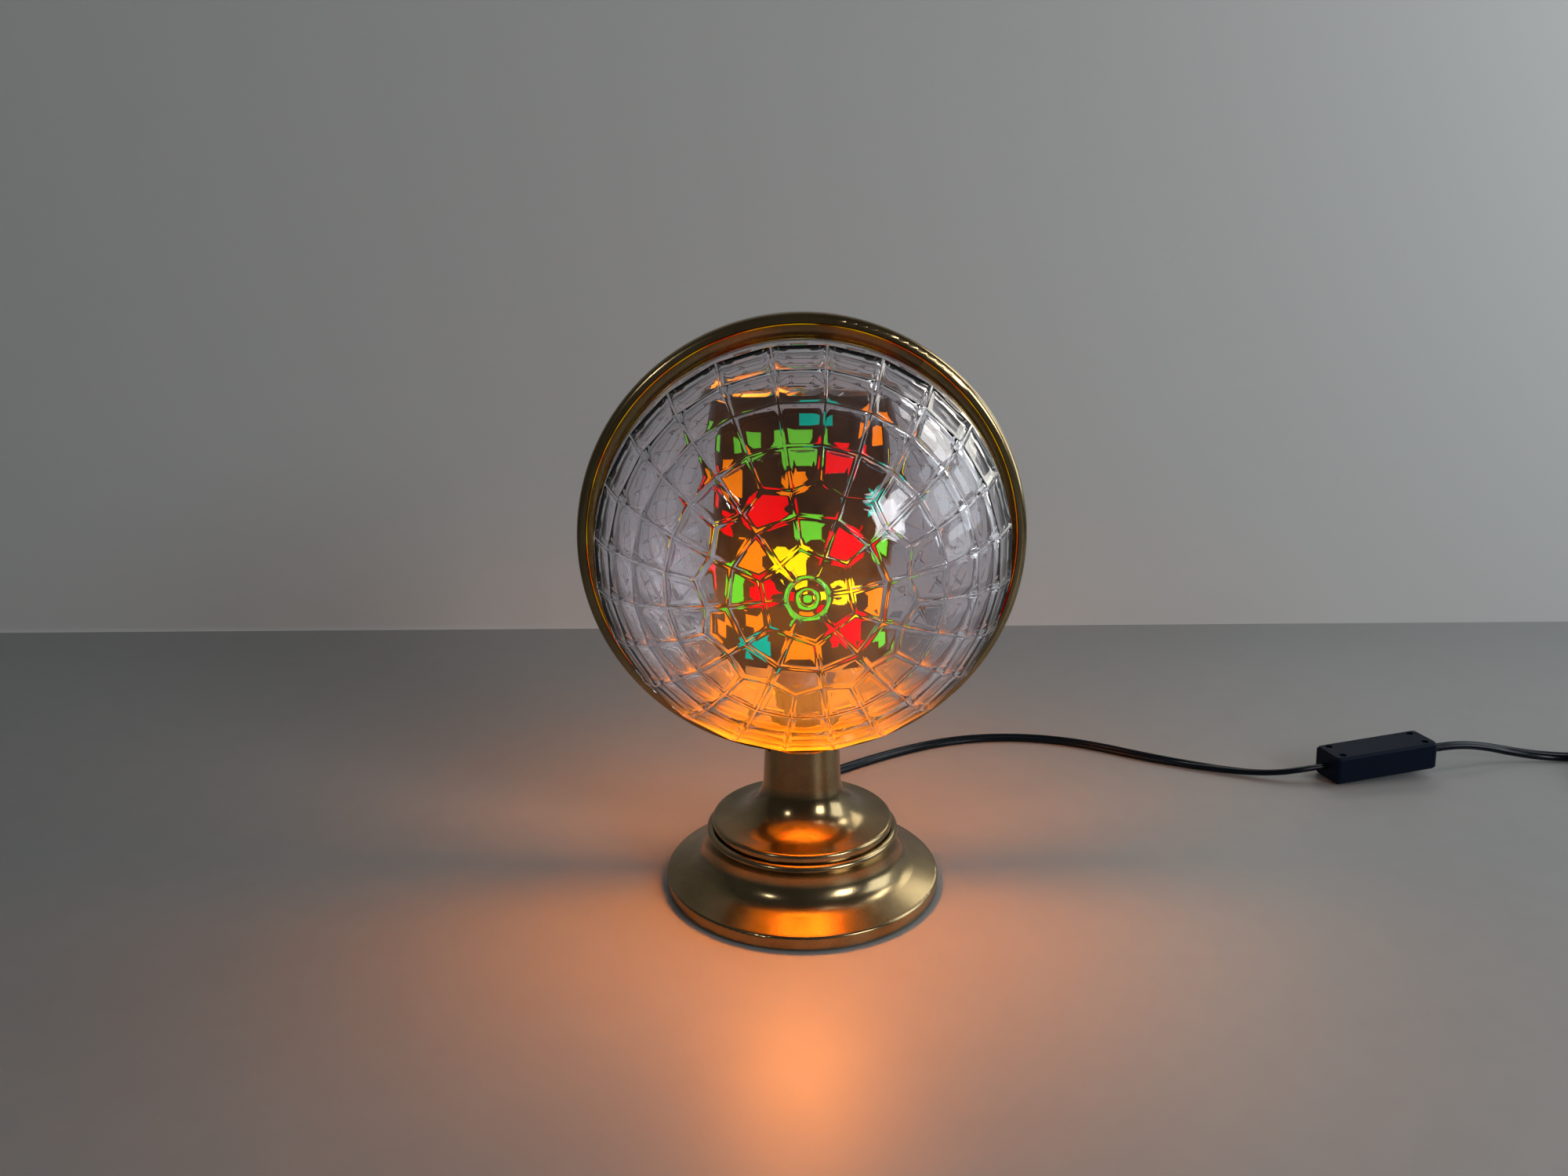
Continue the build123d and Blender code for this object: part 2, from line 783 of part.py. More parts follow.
neck_angle = radians(bulb_neck_angle)
with BuildPart() as bulb_glass:
    for inset, mode in ((0, Mode.ADD), (bulb_wall, Mode.SUBTRACT)):
        ball_radius = bulb_radius - inset
        neck_join = (ball_radius * sin(neck_angle), bulb_centre - ball_radius * cos(neck_angle))
        with BuildSketch(Plane.XZ):
            with BuildLine():
                ball = TangentArc((0, bulb_centre + ball_radius), neck_join, tangent=(1, 0))
                neck = Spline(ball @ 1, (bulb_neck_radius - inset, cap_top), tangents=(ball % 1, (0, -1)))
                Polyline(neck @ 1, (0, cap_top), ball @ 0)
            make_face()
        revolve(axis=Axis.Z, mode=mode)
save(bulb_glass, "bulb_glass")

# Filament mount: a glass stem, two support wires and the hanging filament
with BuildPart() as bulb_filament:
    with BuildSketch(Plane.XY.offset(cap_top)):
        Circle(stem_glass_radius)
    extrude(amount=bulb_centre - cap_top - bulb_radius / 2, taper=stem_glass_taper)
    for side in (-1, 1):
        with BuildLine() as support:
            Polyline(
                (side * stem_glass_radius / 2, 0, bulb_centre - bulb_radius / 2 - support_bury),
                (side * filament_span / 2, 0, bulb_centre + filament_height),
            )
        with BuildSketch(Plane(origin=support.line @ 0, z_dir=support.line % 0)):
            Circle(filament_wire)
        sweep(path=support.line)
    coil_end = bulb_centre + filament_height - filament_drop
    with BuildLine() as coil_line:
        ThreePointArc(
            (-filament_span / 2, 0, coil_end),
            (0, -filament_lean, coil_end - filament_sag),
            (filament_span / 2, 0, coil_end),
        )
    with BuildSketch(Plane(origin=coil_line.line @ 0, z_dir=coil_line.line % 0)):
        Circle(2 * filament_wire)
    sweep(path=coil_line.line)
save(bulb_filament, "bulb_filament")

# Wire bridge over the bulb, on a collar that grips the lampholder
collar_base = holder_top - collar_drop - collar_height
collar_middle = collar_base + collar_height / 2
with BuildPart() as pivot_bridge:
    with BuildSketch(Plane.XY.offset(collar_base)):
        Circle(holder_radius + collar_wall)
        Circle(holder_radius, mode=Mode.SUBTRACT)
    extrude(amount=collar_height)
    with BuildLine() as bridge:
        FilletPolyline(
            (-holder_radius - collar_wall / 2, 0, collar_middle),
            (-bridge_reach, 0, collar_middle + bridge_reach / 3),
            (-bridge_reach, 0, bridge_shoulder),
            (-bridge_flat, 0, bridge_top),
            (bridge_flat, 0, bridge_top),
            (bridge_reach, 0, bridge_shoulder),
            (bridge_reach, 0, collar_middle + bridge_reach / 3),
            (holder_radius + collar_wall / 2, 0, collar_middle),
            radius=bridge_bend,
        )
    with BuildSketch(Plane(origin=bridge.line @ 0, z_dir=bridge.line % 0)):
        Circle(wire_radius)
    sweep(path=bridge.line)
    with BuildSketch(Plane.XY.offset(collar_base)):
        Circle(holder_radius)
    extrude(amount=collar_height, mode=Mode.SUBTRACT)
save(pivot_bridge, "pivot_bridge")

# Needle with a collar that is staked to the wire
seat_base = bridge_top + wire_radius
seat_top = seat_base + needle_seat_height
with BuildPart() as pivot_needle:
    with BuildSketch(Plane.XZ):
        with BuildLine():
            Polyline(
                (0, seat_base),
                (needle_seat_radius, seat_base),
                (needle_seat_radius, seat_top - needle_seat_chamfer),
                (needle_seat_radius - needle_seat_chamfer, seat_top),
                (needle_radius, seat_top),
                (needle_radius, needle_tip - needle_point),
                (0, needle_tip),
                close=True,
            )
        make_face()
    revolve(axis=Axis.Z)
save(pivot_needle, "pivot_needle")

# Drum: a dark tube with scattered windows


def placed_windows():
    """Every window all round the drum: colour, azimuth, height of its middle, arc, height."""
    for turn in range(window_repeats):
        for colour, azimuth, rise, width, height in windows:
            arc = 2 * degrees(asin(width / 2 / drum_radius))
            yield colour, azimuth + turn * 360 / window_repeats, drum_bottom + rise, arc, height


def wall_patch(angle, arc, radius, thickness, middle, height):
    """Curved patch of the drum's wall, centred on an azimuth and a height."""
    start = radians(angle - arc / 2)
    plane = Plane(origin=(0, 0, 0), x_dir=(sin(start), -cos(start), 0), z_dir=(-cos(start), -sin(start), 0))
    with BuildPart() as patch:
        with BuildSketch(plane):
            with Locations((radius + thickness / 2, middle)):
                Rectangle(thickness, height)
        revolve(axis=Axis.Z, revolution_arc=arc)
    return patch.part


with BuildPart() as drum_shell:
    with BuildSketch(Plane.XY.offset(drum_bottom)):
        Circle(drum_radius)
        Circle(drum_inner, mode=Mode.SUBTRACT)
    extrude(amount=drum_height)
    for _, azimuth, middle, arc, height in placed_windows():
        cutter = wall_patch(azimuth, arc, drum_inner - drum_wall, 3 * drum_wall, middle, height)
        add(cutter, mode=Mode.SUBTRACT)
save(drum_shell, "drum_shell")

# Coloured films behind the windows, one piece for each window
film_border = 2 * degrees(film_margin / drum_inner)
for colour in ("red", "amber", "yellow", "green", "teal"):
    with BuildPart() as films:
        for film_colour, azimuth, middle, arc, height in placed_windows():
            if film_colour == colour:
                span = arc + film_border
                lapped = height + 2 * film_margin
                add(wall_patch(azimuth, span, drum_inner - film_thickness, film_thickness, middle, lapped))
    save(films, f"{colour}_windows")

# Hoop that stiffens the drum's open bottom
with BuildPart() as drum_hoop:
    with BuildSketch(Plane.XY.offset(drum_bottom)):
        Circle(drum_inner)
        Circle(drum_inner - drum_hoop_wall, mode=Mode.SUBTRACT)
    extrude(amount=drum_hoop_height)
save(drum_hoop, "drum_hoop")

# Turbine cap: a hub and a rim joined by tilted vanes that the rising air turns
with BuildPart() as turbine_cap:
    with BuildSketch(Plane.XY.offset(cap_plane)):
        Circle(hub_radius)
        Circle(drum_inner)
        Circle(fan_rim_radius, mode=Mode.SUBTRACT)
        Circle(hub_radius)
        Circle(cup_radius, mode=Mode.SUBTRACT)
    extrude(amount=cap_sheet)
    for vane in range(vane_count):
        turn = radians(vane * 360 / vane_count)
        lean = radians(vane_angle)
        vane_plane = Plane(
            origin=(0, 0, cap_plane + cap_sheet / 2),
            x_dir=(cos(turn), sin(turn), 0),
            z_dir=(sin(turn) * sin(lean), -cos(turn) * sin(lean), cos(lean)),
        )
        with BuildSketch(vane_plane.offset(-vane_sheet / 2)):
            with BuildLine():
                Polyline(
                    (hub_radius - vane_bury, -vane_root_width / 2),
                    (fan_rim_radius + vane_bury, -vane_tip_width / 2),
                    (fan_rim_radius + vane_bury, vane_tip_width / 2),
                    (hub_radius - vane_bury, vane_root_width / 2),
                    close=True,
                )
            make_face()
        extrude(amount=vane_sheet)
save(turbine_cap, "turbine_cap")

# Bearing cup at the middle of the cap, a running fit on the needle
with BuildPart() as bearing_cup:
    with BuildSketch(Plane.XY.offset(cup_top - cup_length)):
        Circle(cup_radius)
        Circle(needle_radius + needle_clearance, mode=Mode.SUBTRACT)
    extrude(amount=cup_length - cup_roof)
    with BuildSketch(Plane.XY.offset(cup_top - cup_roof)):
        Circle(cup_radius)
    extrude(amount=cup_roof)
save(bearing_cup, "bearing_cup")

# Cord gland: a grommet in the rim's back notch with a short sleeve
gland_back = rim_radius - gland_inside
gland_front = rim_radius + gland_body
gland_face = gland_front + gland_sleeve
lead_hole = 2 * wire_core_radius + wire_core_gap + wire_core_clearance
with BuildPart() as cord_gland:
    with BuildSketch(Plane.XZ.offset(-gland_front)):
        with Locations((0, gland_middle)):
            RectangleRounded(gland_width, gland_height, gland_corner)
    extrude(amount=gland_front - gland_back)
    with BuildSketch(Plane.XZ.offset(-gland_front)):
        with Locations((0, gland_middle)):
            Circle(gland_sleeve_radius)
    extrude(amount=-gland_sleeve, taper=gland_sleeve_taper)
    with BuildSketch(Plane.XZ.offset(-gland_face)):
        with Locations((0, gland_middle)):
            Circle(lead_hole)
    extrude(amount=gland_face - gland_back, mode=Mode.SUBTRACT)
save(cord_gland, "cord_gland")


def route_radii(points):
    """Largest even bend at each corner of a route: a fixed share of its shorter run."""
    radii = []
    for before, corner, after in zip(points, points[1:], points[2:]):
        entering = Vector(*corner) - Vector(*before)
        leaving = Vector(*after) - Vector(*corner)
        half_turn = radians(entering.get_angle(leaving)) / 2
        shorter = min(entering.length, leaving.length)
        radii.append(cord_bend_share * shorter / tan(half_turn))
    return radii


def cord_tube(points, name):
    """Tube of straight runs joined by tangent arcs along a route."""
    radii = route_radii(points)
    with BuildPart() as tube:
        with BuildLine() as route:
            FilletPolyline(*points, radius=radii)
        with BuildSketch(Plane(origin=route.line @ 0, z_dir=route.line % 0)):
            Circle(cord_radius)
        sweep(path=route.line)
    length = round(route.wires()[0].length, 1)
    swept = round(tube.part.volume / cord_section, 1)
    print(name, "radii", [round(radius, 1) for radius in radii])
    print(name, "length", length, "volume over section", swept)
    return tube


# Two wires from the gland up through the threaded tube to the lampholder
with BuildPart() as inner_leads:
    for side in (-1, 1):
        offset_x = side * (wire_core_radius + wire_core_gap)
        with BuildLine() as wire:
            FilletPolyline(
                (offset_x, gland_face, gland_middle),
                (offset_x * wire_spread, 0, gland_middle),
                (offset_x * wire_spread, 0, contact_low),
                radius=wire_bend,
            )
        with BuildSketch(Plane(origin=wire.line @ 0, z_dir=wire.line % 0)):
            Circle(wire_core_radius)
        sweep(path=wire.line)
save(inner_leads, "inner_leads")

lead_to_switch = cord_tube(switch_route, "lead_to_switch")
save(lead_to_switch, "lead_to_switch")

lead_to_plug = cord_tube(plug_route, "lead_to_plug")
save(lead_to_plug, "lead_to_plug")

lead_tail = cord_tube(tail_route, "lead_tail")
save(lead_tail, "lead_tail")

# In-line switch. Its plane lies on the underside, with X along the cord.
yaw = radians(switch_yaw)
tilt = radians(switch_tilt)
switch_x = Vector(cos(tilt) * cos(yaw), cos(tilt) * sin(yaw), sin(tilt))
switch_z = Vector(-sin(tilt) * cos(yaw), -sin(tilt) * sin(yaw), cos(tilt))
switch_origin = Vector(*switch_left_end) + switch_x * (switch_length / 2) - switch_z * switch_front_height
switch_plane = Plane(origin=switch_origin, x_dir=switch_x, z_dir=switch_z)
switch_height = switch_front_height + switch_back_height
screw_points = GridLocations(
    switch_length - 2 * switch_screw_end_inset,
    switch_width - 2 * switch_screw_inset,
    2,
    2,
)
recess_floor = switch_height - switch_screw_depth

with BuildPart() as switch_screws:
    with BuildSketch(switch_plane.offset(recess_floor)):
        with screw_points:
            Circle(switch_screw_head)
    extrude(amount=switch_screw_head_height)
    with BuildSketch(switch_plane.offset(recess_floor)):
        with screw_points:
            Circle(switch_screw_radius)
    extrude(amount=-switch_screw_length)
save(switch_screws, "switch_screws")

with BuildPart() as switch_back:
    with BuildSketch(switch_plane.offset(switch_front_height)):
        RectangleRounded(switch_length, switch_width, switch_corner)
    extrude(amount=switch_back_height)
    top_face = switch_back.faces().sort_by(Axis(switch_origin, switch_z))[-1]
    chamfer(top_face.edges(), switch_edge)
    with BuildSketch(switch_plane.offset(recess_floor)):
        with screw_points:
            Circle(switch_screw_recess)
    extrude(amount=switch_screw_depth, mode=Mode.SUBTRACT)
    add(switch_screws.part, mode=Mode.SUBTRACT)
save(switch_back, "switch_back")

# Rocker: a shallow V pressed down at its right end, on two moulded pins
pivot_point = switch_plane.offset(rocker_pivot_height).origin
press = radians(rocker_tilt)
rocker_x = switch_x * cos(press) - switch_z * sin(press)
rocker_side = Plane(origin=pivot_point, x_dir=rocker_x, z_dir=-switch_plane.y_dir)
with BuildPart() as switch_rocker:
    with BuildSketch(rocker_side):
        with BuildLine():
            Polyline(
                (-rocker_half_length, -rocker_pivot_height - rocker_proud),
                (0, -rocker_pivot_height + rocker_valley),
                (rocker_half_length, -rocker_pivot_height - rocker_proud),
                (rocker_half_length, -rocker_pivot_height / 2),
                (rocker_back_half, rocker_back_height),
                (-rocker_back_half, rocker_back_height),
                (-rocker_half_length, -rocker_pivot_height / 2),
                close=True,
            )
        make_face()
    extrude(amount=rocker_half_width, both=True)
    with BuildSketch(rocker_side):
        Circle(rocker_pin_radius)
    extrude(amount=rocker_pin_reach, both=True)
save(switch_rocker, "switch_rocker")

pivot_side = Plane(origin=pivot_point, x_dir=switch_x, z_dir=-switch_plane.y_dir)
with BuildPart() as switch_front:
    with BuildSketch(switch_plane.offset(switch_front_height)):
        RectangleRounded(switch_length, switch_width, switch_corner)
    extrude(amount=-switch_front_height)
    bottom_face = switch_front.faces().sort_by(Axis(switch_origin, switch_z))[0]
    chamfer(bottom_face.edges(), switch_edge)
    with BuildSketch(switch_plane):
        Rectangle(
            2 * (rocker_half_length + rocker_slot_gap),
            2 * (rocker_half_width + rocker_side_gap),
        )
    extrude(amount=rocker_cavity, mode=Mode.SUBTRACT)
    with BuildSketch(pivot_side):
        Circle(rocker_pin_radius + rocker_pin_clearance)
    extrude(amount=rocker_pin_reach + rocker_side_gap / 2, both=True, mode=Mode.SUBTRACT)
    add(switch_screws.part, mode=Mode.SUBTRACT)
save(switch_front, "switch_front")

# Coil: clockwise half turns from the top of the circle
coil_x, coil_y = coil_centre
step = coil_pitch / 2
inward = [coil_radius - step * turn for turn in range(coil_half_turns)]
outward = inward[:0:-1]
climb = inward[-1] - step
climb_tangent = Vector(0, 2 * climb, coil_pitch).normalized()
climb_radius = Vector(0, 2 * climb, coil_pitch).length / 2
lead = 2 * cord_radius
with BuildPart() as lead_coil:
    with BuildLine() as turns:
        place = Vector(coil_x, coil_y + coil_radius, coil_low)
        heading = Vector(1, 0, 0)
        Line(place - heading * lead, place)
        for radius in inward:
            across = place - Vector(0, 2 * radius * heading.X, 0)
            TangentArc(place, across, tangent=heading)
            place = across
            heading = -heading
        halfway = place + heading * climb_radius + climb_tangent * climb_radius
        over = place + climb_tangent * 2 * climb_radius
        TangentArc(place, halfway, tangent=heading)
        TangentArc(halfway, over, tangent=climb_tangent)
        place = over
        heading = -heading
        for radius in outward:
            across = place - Vector(0, 2 * radius * heading.X, 0)
            TangentArc(place, across, tangent=heading)
            place = across
            heading = -heading
        last = place + Vector(coil_radius, -coil_radius, 0)
        TangentArc(place, last, tangent=heading)
        Line(last, last - Vector(0, lead, 0))
    with BuildSketch(Plane(origin=turns.line @ 0, z_dir=turns.line % 0)):
        Circle(cord_radius)
    sweep(path=turns.line)
save(lead_coil, "lead_coil")

coil_wire = turns.wires()[0]
coil_points = [tuple(coil_wire @ (sample / coil_samples)) for sample in range(coil_samples + 1)]
apart = int(pi * climb / coil_wire.length * coil_samples)
least = min(
    dist(coil_points[first], coil_points[second])
    for first in range(coil_samples + 1)
    for second in range(first + apart, coil_samples + 1)
)
least_gap = round(least - 2 * cord_radius, 2)
coil_swept = round(lead_coil.part.volume / cord_section, 1)
print("lead_coil length", round(coil_wire.length, 1), "volume over section", coil_swept)
print("lead_coil least gap to itself", least_gap, "from", coil_points[0], "to", coil_points[-1])

# Tie round the coil's turns on its left side
tie_outer = coil_radius - step + cord_radius + tie_air
tie_inner = climb - cord_radius - tie_air
tie_top = coil_high + cord_radius + tie_air
with BuildPart() as coil_tie:
    with BuildSketch(Plane.XZ.offset(-coil_y + step)):
        with Locations((coil_x - (tie_outer + tie_inner) / 2, (tie_top + tie_thickness) / 2)):
            RectangleRounded(
                tie_outer - tie_inner + 2 * tie_thickness,
                tie_top + tie_thickness,
                tie_corner,
            )
            RectangleRounded(
                tie_outer - tie_inner,
                tie_top - tie_thickness,
                tie_corner - tie_thickness,
                mode=Mode.SUBTRACT,
            )
    extrude(amount=tie_width / 2, both=True)
save(coil_tie, "coil_tie")

# Flat two-pin plug lying beside the coil, its pins towards -Y
plug_x, plug_start, plug_z = tail_route[-1]
plug_face = plug_start - plug_length
with BuildPart() as plug_body:
    for share, width, height in (
        (0, plug_tail_width, plug_tail_height),
        (plug_neck_share, plug_neck_width, plug_neck_height),
        (plug_waist_share, plug_waist_width, plug_height),
        (1, plug_face_width, plug_height),
    ):
        with BuildSketch(Plane.XZ.offset(-plug_start + share * plug_length)):
            with Locations((plug_x, plug_z)):
                RectangleRounded(width, height, plug_corner)
    loft(ruled=True)
    with BuildSketch(Plane.XZ.offset(-plug_face)):
        with Locations((plug_x, plug_z)):
            with GridLocations(pin_spacing, 0, 2, 1):
                Circle(pin_radius)
    extrude(amount=-pin_root, mode=Mode.SUBTRACT)
save(plug_body, "plug_body")

with BuildPart() as plug_pins:
    with BuildSketch(Plane.XZ.offset(-plug_face - pin_root)):
        with Locations((plug_x, plug_z)):
            with GridLocations(pin_spacing, 0, 2, 1):
                Circle(pin_radius)
    extrude(amount=pin_root + pin_length)
    fillet(plug_pins.edges().group_by(Axis.Y)[0], pin_round)
save(plug_pins, "plug_pins")
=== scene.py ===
"""Dresses the mood light: scooped lenses, satin brass, coloured drum, lit bulb, switch and cord.

Metres, +Z up, the globe's front along -Y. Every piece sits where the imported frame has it.
"""

import bpy
from math import cos, degrees, pi, radians, sin
from mathutils import Matrix, Vector


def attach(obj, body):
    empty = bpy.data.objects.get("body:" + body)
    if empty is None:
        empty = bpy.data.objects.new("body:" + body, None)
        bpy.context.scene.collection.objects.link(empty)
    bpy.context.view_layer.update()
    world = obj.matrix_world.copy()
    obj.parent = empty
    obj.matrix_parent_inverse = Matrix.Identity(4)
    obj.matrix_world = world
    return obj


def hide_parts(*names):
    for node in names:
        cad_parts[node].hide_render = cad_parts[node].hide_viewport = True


bl_info = {
    "name": "Mood Light",
    "version": (1, 0, 0),
    "blender": (4, 5, 0),
    "location": "View3D > Sidebar > Mood Light",
    "description": "Builds the looks of a faceted mood light round its fixed frame",
    "category": "Object",
}

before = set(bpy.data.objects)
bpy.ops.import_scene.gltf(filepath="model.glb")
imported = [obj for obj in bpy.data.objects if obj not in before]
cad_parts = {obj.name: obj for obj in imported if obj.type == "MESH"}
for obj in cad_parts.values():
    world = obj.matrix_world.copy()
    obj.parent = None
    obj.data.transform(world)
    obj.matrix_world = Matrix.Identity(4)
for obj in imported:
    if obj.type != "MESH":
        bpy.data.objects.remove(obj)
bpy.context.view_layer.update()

MM = 0.001
MERGE_DISTANCE = 1e-6
GLOBE = Vector((0, 0, 0.1598))
BLACK = (0.0, 0.0, 0.0)


# Shader helpers


class Value:
    """A socket's value. Sums, products and powers of it add Math nodes."""

    def __init__(self, tree, socket):
        self.tree = tree
        self.socket = socket

    def math(self, operation, first, second):
        """Adds a Math node for two numbers or values."""
        return self.tree.node("ShaderNodeMath", {"operation": operation}, {0: first, 1: second})

    def __add__(self, other):
        return self.math("ADD", self, other)

    def __radd__(self, other):
        return self.math("ADD", other, self)

    def __sub__(self, other):
        return self.math("SUBTRACT", self, other)

    def __rsub__(self, other):
        return self.math("SUBTRACT", other, self)

    def __mul__(self, other):
        return self.math("MULTIPLY", self, other)

    def __rmul__(self, other):
        return self.math("MULTIPLY", other, self)

    def __truediv__(self, other):
        return self.math("DIVIDE", self, other)

    def __rtruediv__(self, other):
        return self.math("DIVIDE", other, self)

    def __pow__(self, other):
        return self.math("POWER", self, other)

    def clamped(self):
        """The value kept between 0 and 1."""
        return self.tree.node("ShaderNodeClamp", {}, {"Value": self})

    def blend(self, low, high):
        """Colour that goes from low at 0 to high at 1."""
        return self.tree.node(
            "ShaderNodeMix", {"data_type": "RGBA"}, {0: self, 6: low, 7: high}, output=2
        )

    def ramp(self, *stops):
        """Colour read from stops of place and colour."""
        return self.tree.node("ShaderNodeValToRGB", {"stops": stops}, {0: self})


class Tree:
    """A node tree, built node by node."""

    def __init__(self, tree):
        self.nodes = tree.nodes
        self.links = tree.links

    def node(self, kind, settings, sockets, output=0):
        """Adds a node with its settings, then the values or links of its sockets."""
        made = self.nodes.new(kind)
        for name, value in settings.items():
            if name == "stops":
                stops = made.color_ramp.elements
                while len(stops) < len(value):
                    stops.new(1.0)
                for stop, (place, colour) in zip(stops, value):
                    stop.position = place
                    stop.color = (*colour, 1.0)
            else:
                setattr(made, name, value)
        for name, value in sockets.items():
            socket = made.inputs[name]
            if isinstance(value, Value):
                self.links.new(value.socket, socket)
            elif socket.type == "RGBA":
                socket.default_value = (*value, 1.0)
            else:
                socket.default_value = value
        return Value(self, made.outputs[output])


class Finish(Tree):
    """A material with one Principled shader, whose constants are given by socket."""

    def __init__(self, name, **constants):
        self.material = bpy.data.materials.new(name)
        self.material.use_nodes = True
        super().__init__(self.material.node_tree)
        self.shader = self.nodes["Principled BSDF"]
        self.coords = self.node("ShaderNodeTexCoord", {}, {}, output="Object")
        for socket, value in constants.items():
            self.shader.inputs[socket.replace("_", " ")].default_value = value

    def drive(self, socket, value):
        """Links a varying value to one of the shader's own sockets."""
        self.links.new(value.socket, self.shader.inputs[socket])

    def glow(self, colour, strength=1.0):
        """Gives off light of a varying colour."""
        self.drive("Emission Color", colour)
        self.shader.inputs["Emission Strength"].default_value = strength

    def bump(self, height, strength, distance):
        """Roughens the surface by a varying height, its distance in metres."""
        sockets = {"Strength": strength, "Distance": distance, "Height": height}
        self.drive("Normal", self.node("ShaderNodeBump", {}, sockets))

    def noise(self, scale, detail=3.0):
        """Noise from 0 to 1, its scale in waves a metre."""
        sockets = {"Vector": self.coords, "Scale": scale, "Detail": detail}
        return self.node("ShaderNodeTexNoise", {}, sockets)

    def coordinate(self, axis):
        """How far a point lies along an axis, in metres."""
        return self.node("ShaderNodeSeparateXYZ", {}, {0: self.coords}, output=axis)

    def from_lens_axis(self):
        """How far a point lies from the line through both lenses' poles, in metres."""
        across = self.coordinate("X")
        above = self.coordinate("Z") - GLOBE.z
        return (across ** 2.0 + above ** 2.0) ** 0.5

    def near_height(self, height, steepness):
        """1 at a height, falling off smoothly above and below it."""
        return 1.0 / (1.0 + ((self.coordinate("Z") - height) * steepness) ** 2.0)


def rising(value, start, steepness):
    """0 up to the start, then rising to 1 by so much a metre."""
    return ((value - start) * steepness).clamped()


def falling(value, end, steepness):
    """0 from the end on, and before it falling from 1 by so much a metre."""
    return ((end - value) * steepness).clamped()


def band(value, middle, half_width):
    """1 at the middle, rounding off to 0 at half a width to either side."""
    return (1.0 - ((value - middle) / half_width) ** 2.0).clamped()


def paint(piece, finish):
    """Gives a piece one finish all over."""
    piece.data.materials.clear()
    piece.data.materials.append(finish.material)


# Finishes


class FinishColours(bpy.types.PropertyGroup):
    brass_dark: bpy.props.FloatVectorProperty(
        name="Brass, tarnished", description="Colour of the brass plating where it is dull",
        default=(0.19, 0.13, 0.062), subtype="COLOR", min=0.0,
    )
    brass_light: bpy.props.FloatVectorProperty(
        name="Brass, bright", description="Colour of the brass plating where it is clean",
        default=(0.42, 0.32, 0.17), subtype="COLOR", min=0.0,
    )
    # The films' glow is painted, in place of the bulb's light shining through them from behind.
    red_dim: bpy.props.FloatVectorProperty(
        name="Red film, dim", description="Glow of the red windows far from the bulb",
        default=(0.35, 0.0, 0.0), subtype="COLOR", min=0.0,
    )
    red_bright: bpy.props.FloatVectorProperty(
        name="Red film, bright", description="Glow of the red windows beside the bulb",
        default=(1.1, 0.0, 0.0), subtype="COLOR", min=0.0,
    )
    amber_dim: bpy.props.FloatVectorProperty(
        name="Amber film, dim", description="Glow of the amber windows far from the bulb",
        default=(0.4, 0.08, 0.0), subtype="COLOR", min=0.0,
    )
    amber_bright: bpy.props.FloatVectorProperty(
        name="Amber film, bright", description="Glow of the amber windows beside the bulb",
        default=(1.2, 0.28, 0.0), subtype="COLOR", min=0.0,
    )
    yellow_dim: bpy.props.FloatVectorProperty(
        name="Yellow film, dim", description="Glow of the yellow windows far from the bulb",
        default=(0.4, 0.26, 0.0), subtype="COLOR", min=0.0,
    )
    yellow_bright: bpy.props.FloatVectorProperty(
        name="Yellow film, bright", description="Glow of the yellow windows beside the bulb",
        default=(1.3, 0.95, 0.0), subtype="COLOR", min=0.0,
    )
    green_dim: bpy.props.FloatVectorProperty(
        name="Green film, dim", description="Glow of the green windows far from the bulb",
        default=(0.05, 0.16, 0.02), subtype="COLOR", min=0.0,
    )
    green_bright: bpy.props.FloatVectorProperty(
        name="Green film, bright", description="Glow of the green windows beside the bulb",
        default=(0.2, 0.8, 0.02), subtype="COLOR", min=0.0,
    )
    teal_dim: bpy.props.FloatVectorProperty(
        name="Teal film, dim", description="Glow of the teal windows far from the bulb",
        default=(0.0, 0.12, 0.09), subtype="COLOR", min=0.0,
    )
    teal_bright: bpy.props.FloatVectorProperty(
        name="Teal film, bright", description="Glow of the teal windows beside the bulb",
        default=(0.0, 0.5, 0.32), subtype="COLOR", min=0.0,
    )


FILM_HUES = ("red", "amber", "yellow", "green", "teal")

# Ring: radius and steepness of the edge of the painted shade in its groove, radius and half width of the
# painted lit line
SHADED_GROOVE_EDGE = (0.0908, 4000.0)
LIT_LINE = (0.0904, 0.00022)

# Lens: height and steepness of the top of the part with painted light, and how far that part reaches to
# either side
LIT_TOP = (0.108, 38.0)
LIT_REACH = 0.062

# Painted glow of haze in the lens, for the bulb's light scattered in it: radius and half width, how far
# to either side, its top and steepness
HAZE_GLOW_BAND = (0.06, 0.018)
HAZE_GLOW_SIDE = 0.045
HAZE_GLOW_TOP = (0.215, 20.0)

# Glow of the pieces near the bulb, painted on all but the bulb itself: height at which it is brightest,
# or starts, and steepness
DRUM_GLOW = (0.135, 34.0)
FILM_GLOW = (0.142, 26.0)
BULB_GLOW = (0.108, 30.0)
HOLDER_GLOW = (0.075, 30.0)


def satin_brass(colours, name="satin_brass"):
    """Brass plating with soft tarnish and a fine brushed grain."""
    finish = Finish(name, Metallic=1.0)
    tarnish = finish.noise(28.0, 4.0)
    grain = finish.noise(2400.0, 2.0)
    mottle = tarnish * 0.65 + grain * 0.35
    finish.brass = mottle.ramp((0.34, colours.brass_dark), (0.68, colours.brass_light))
    finish.drive("Base Color", finish.brass)
    finish.drive("Roughness", 0.09 + tarnish * 0.12 + grain * 0.08)
    finish.bump(grain, 0.1, 0.0001)
    return finish


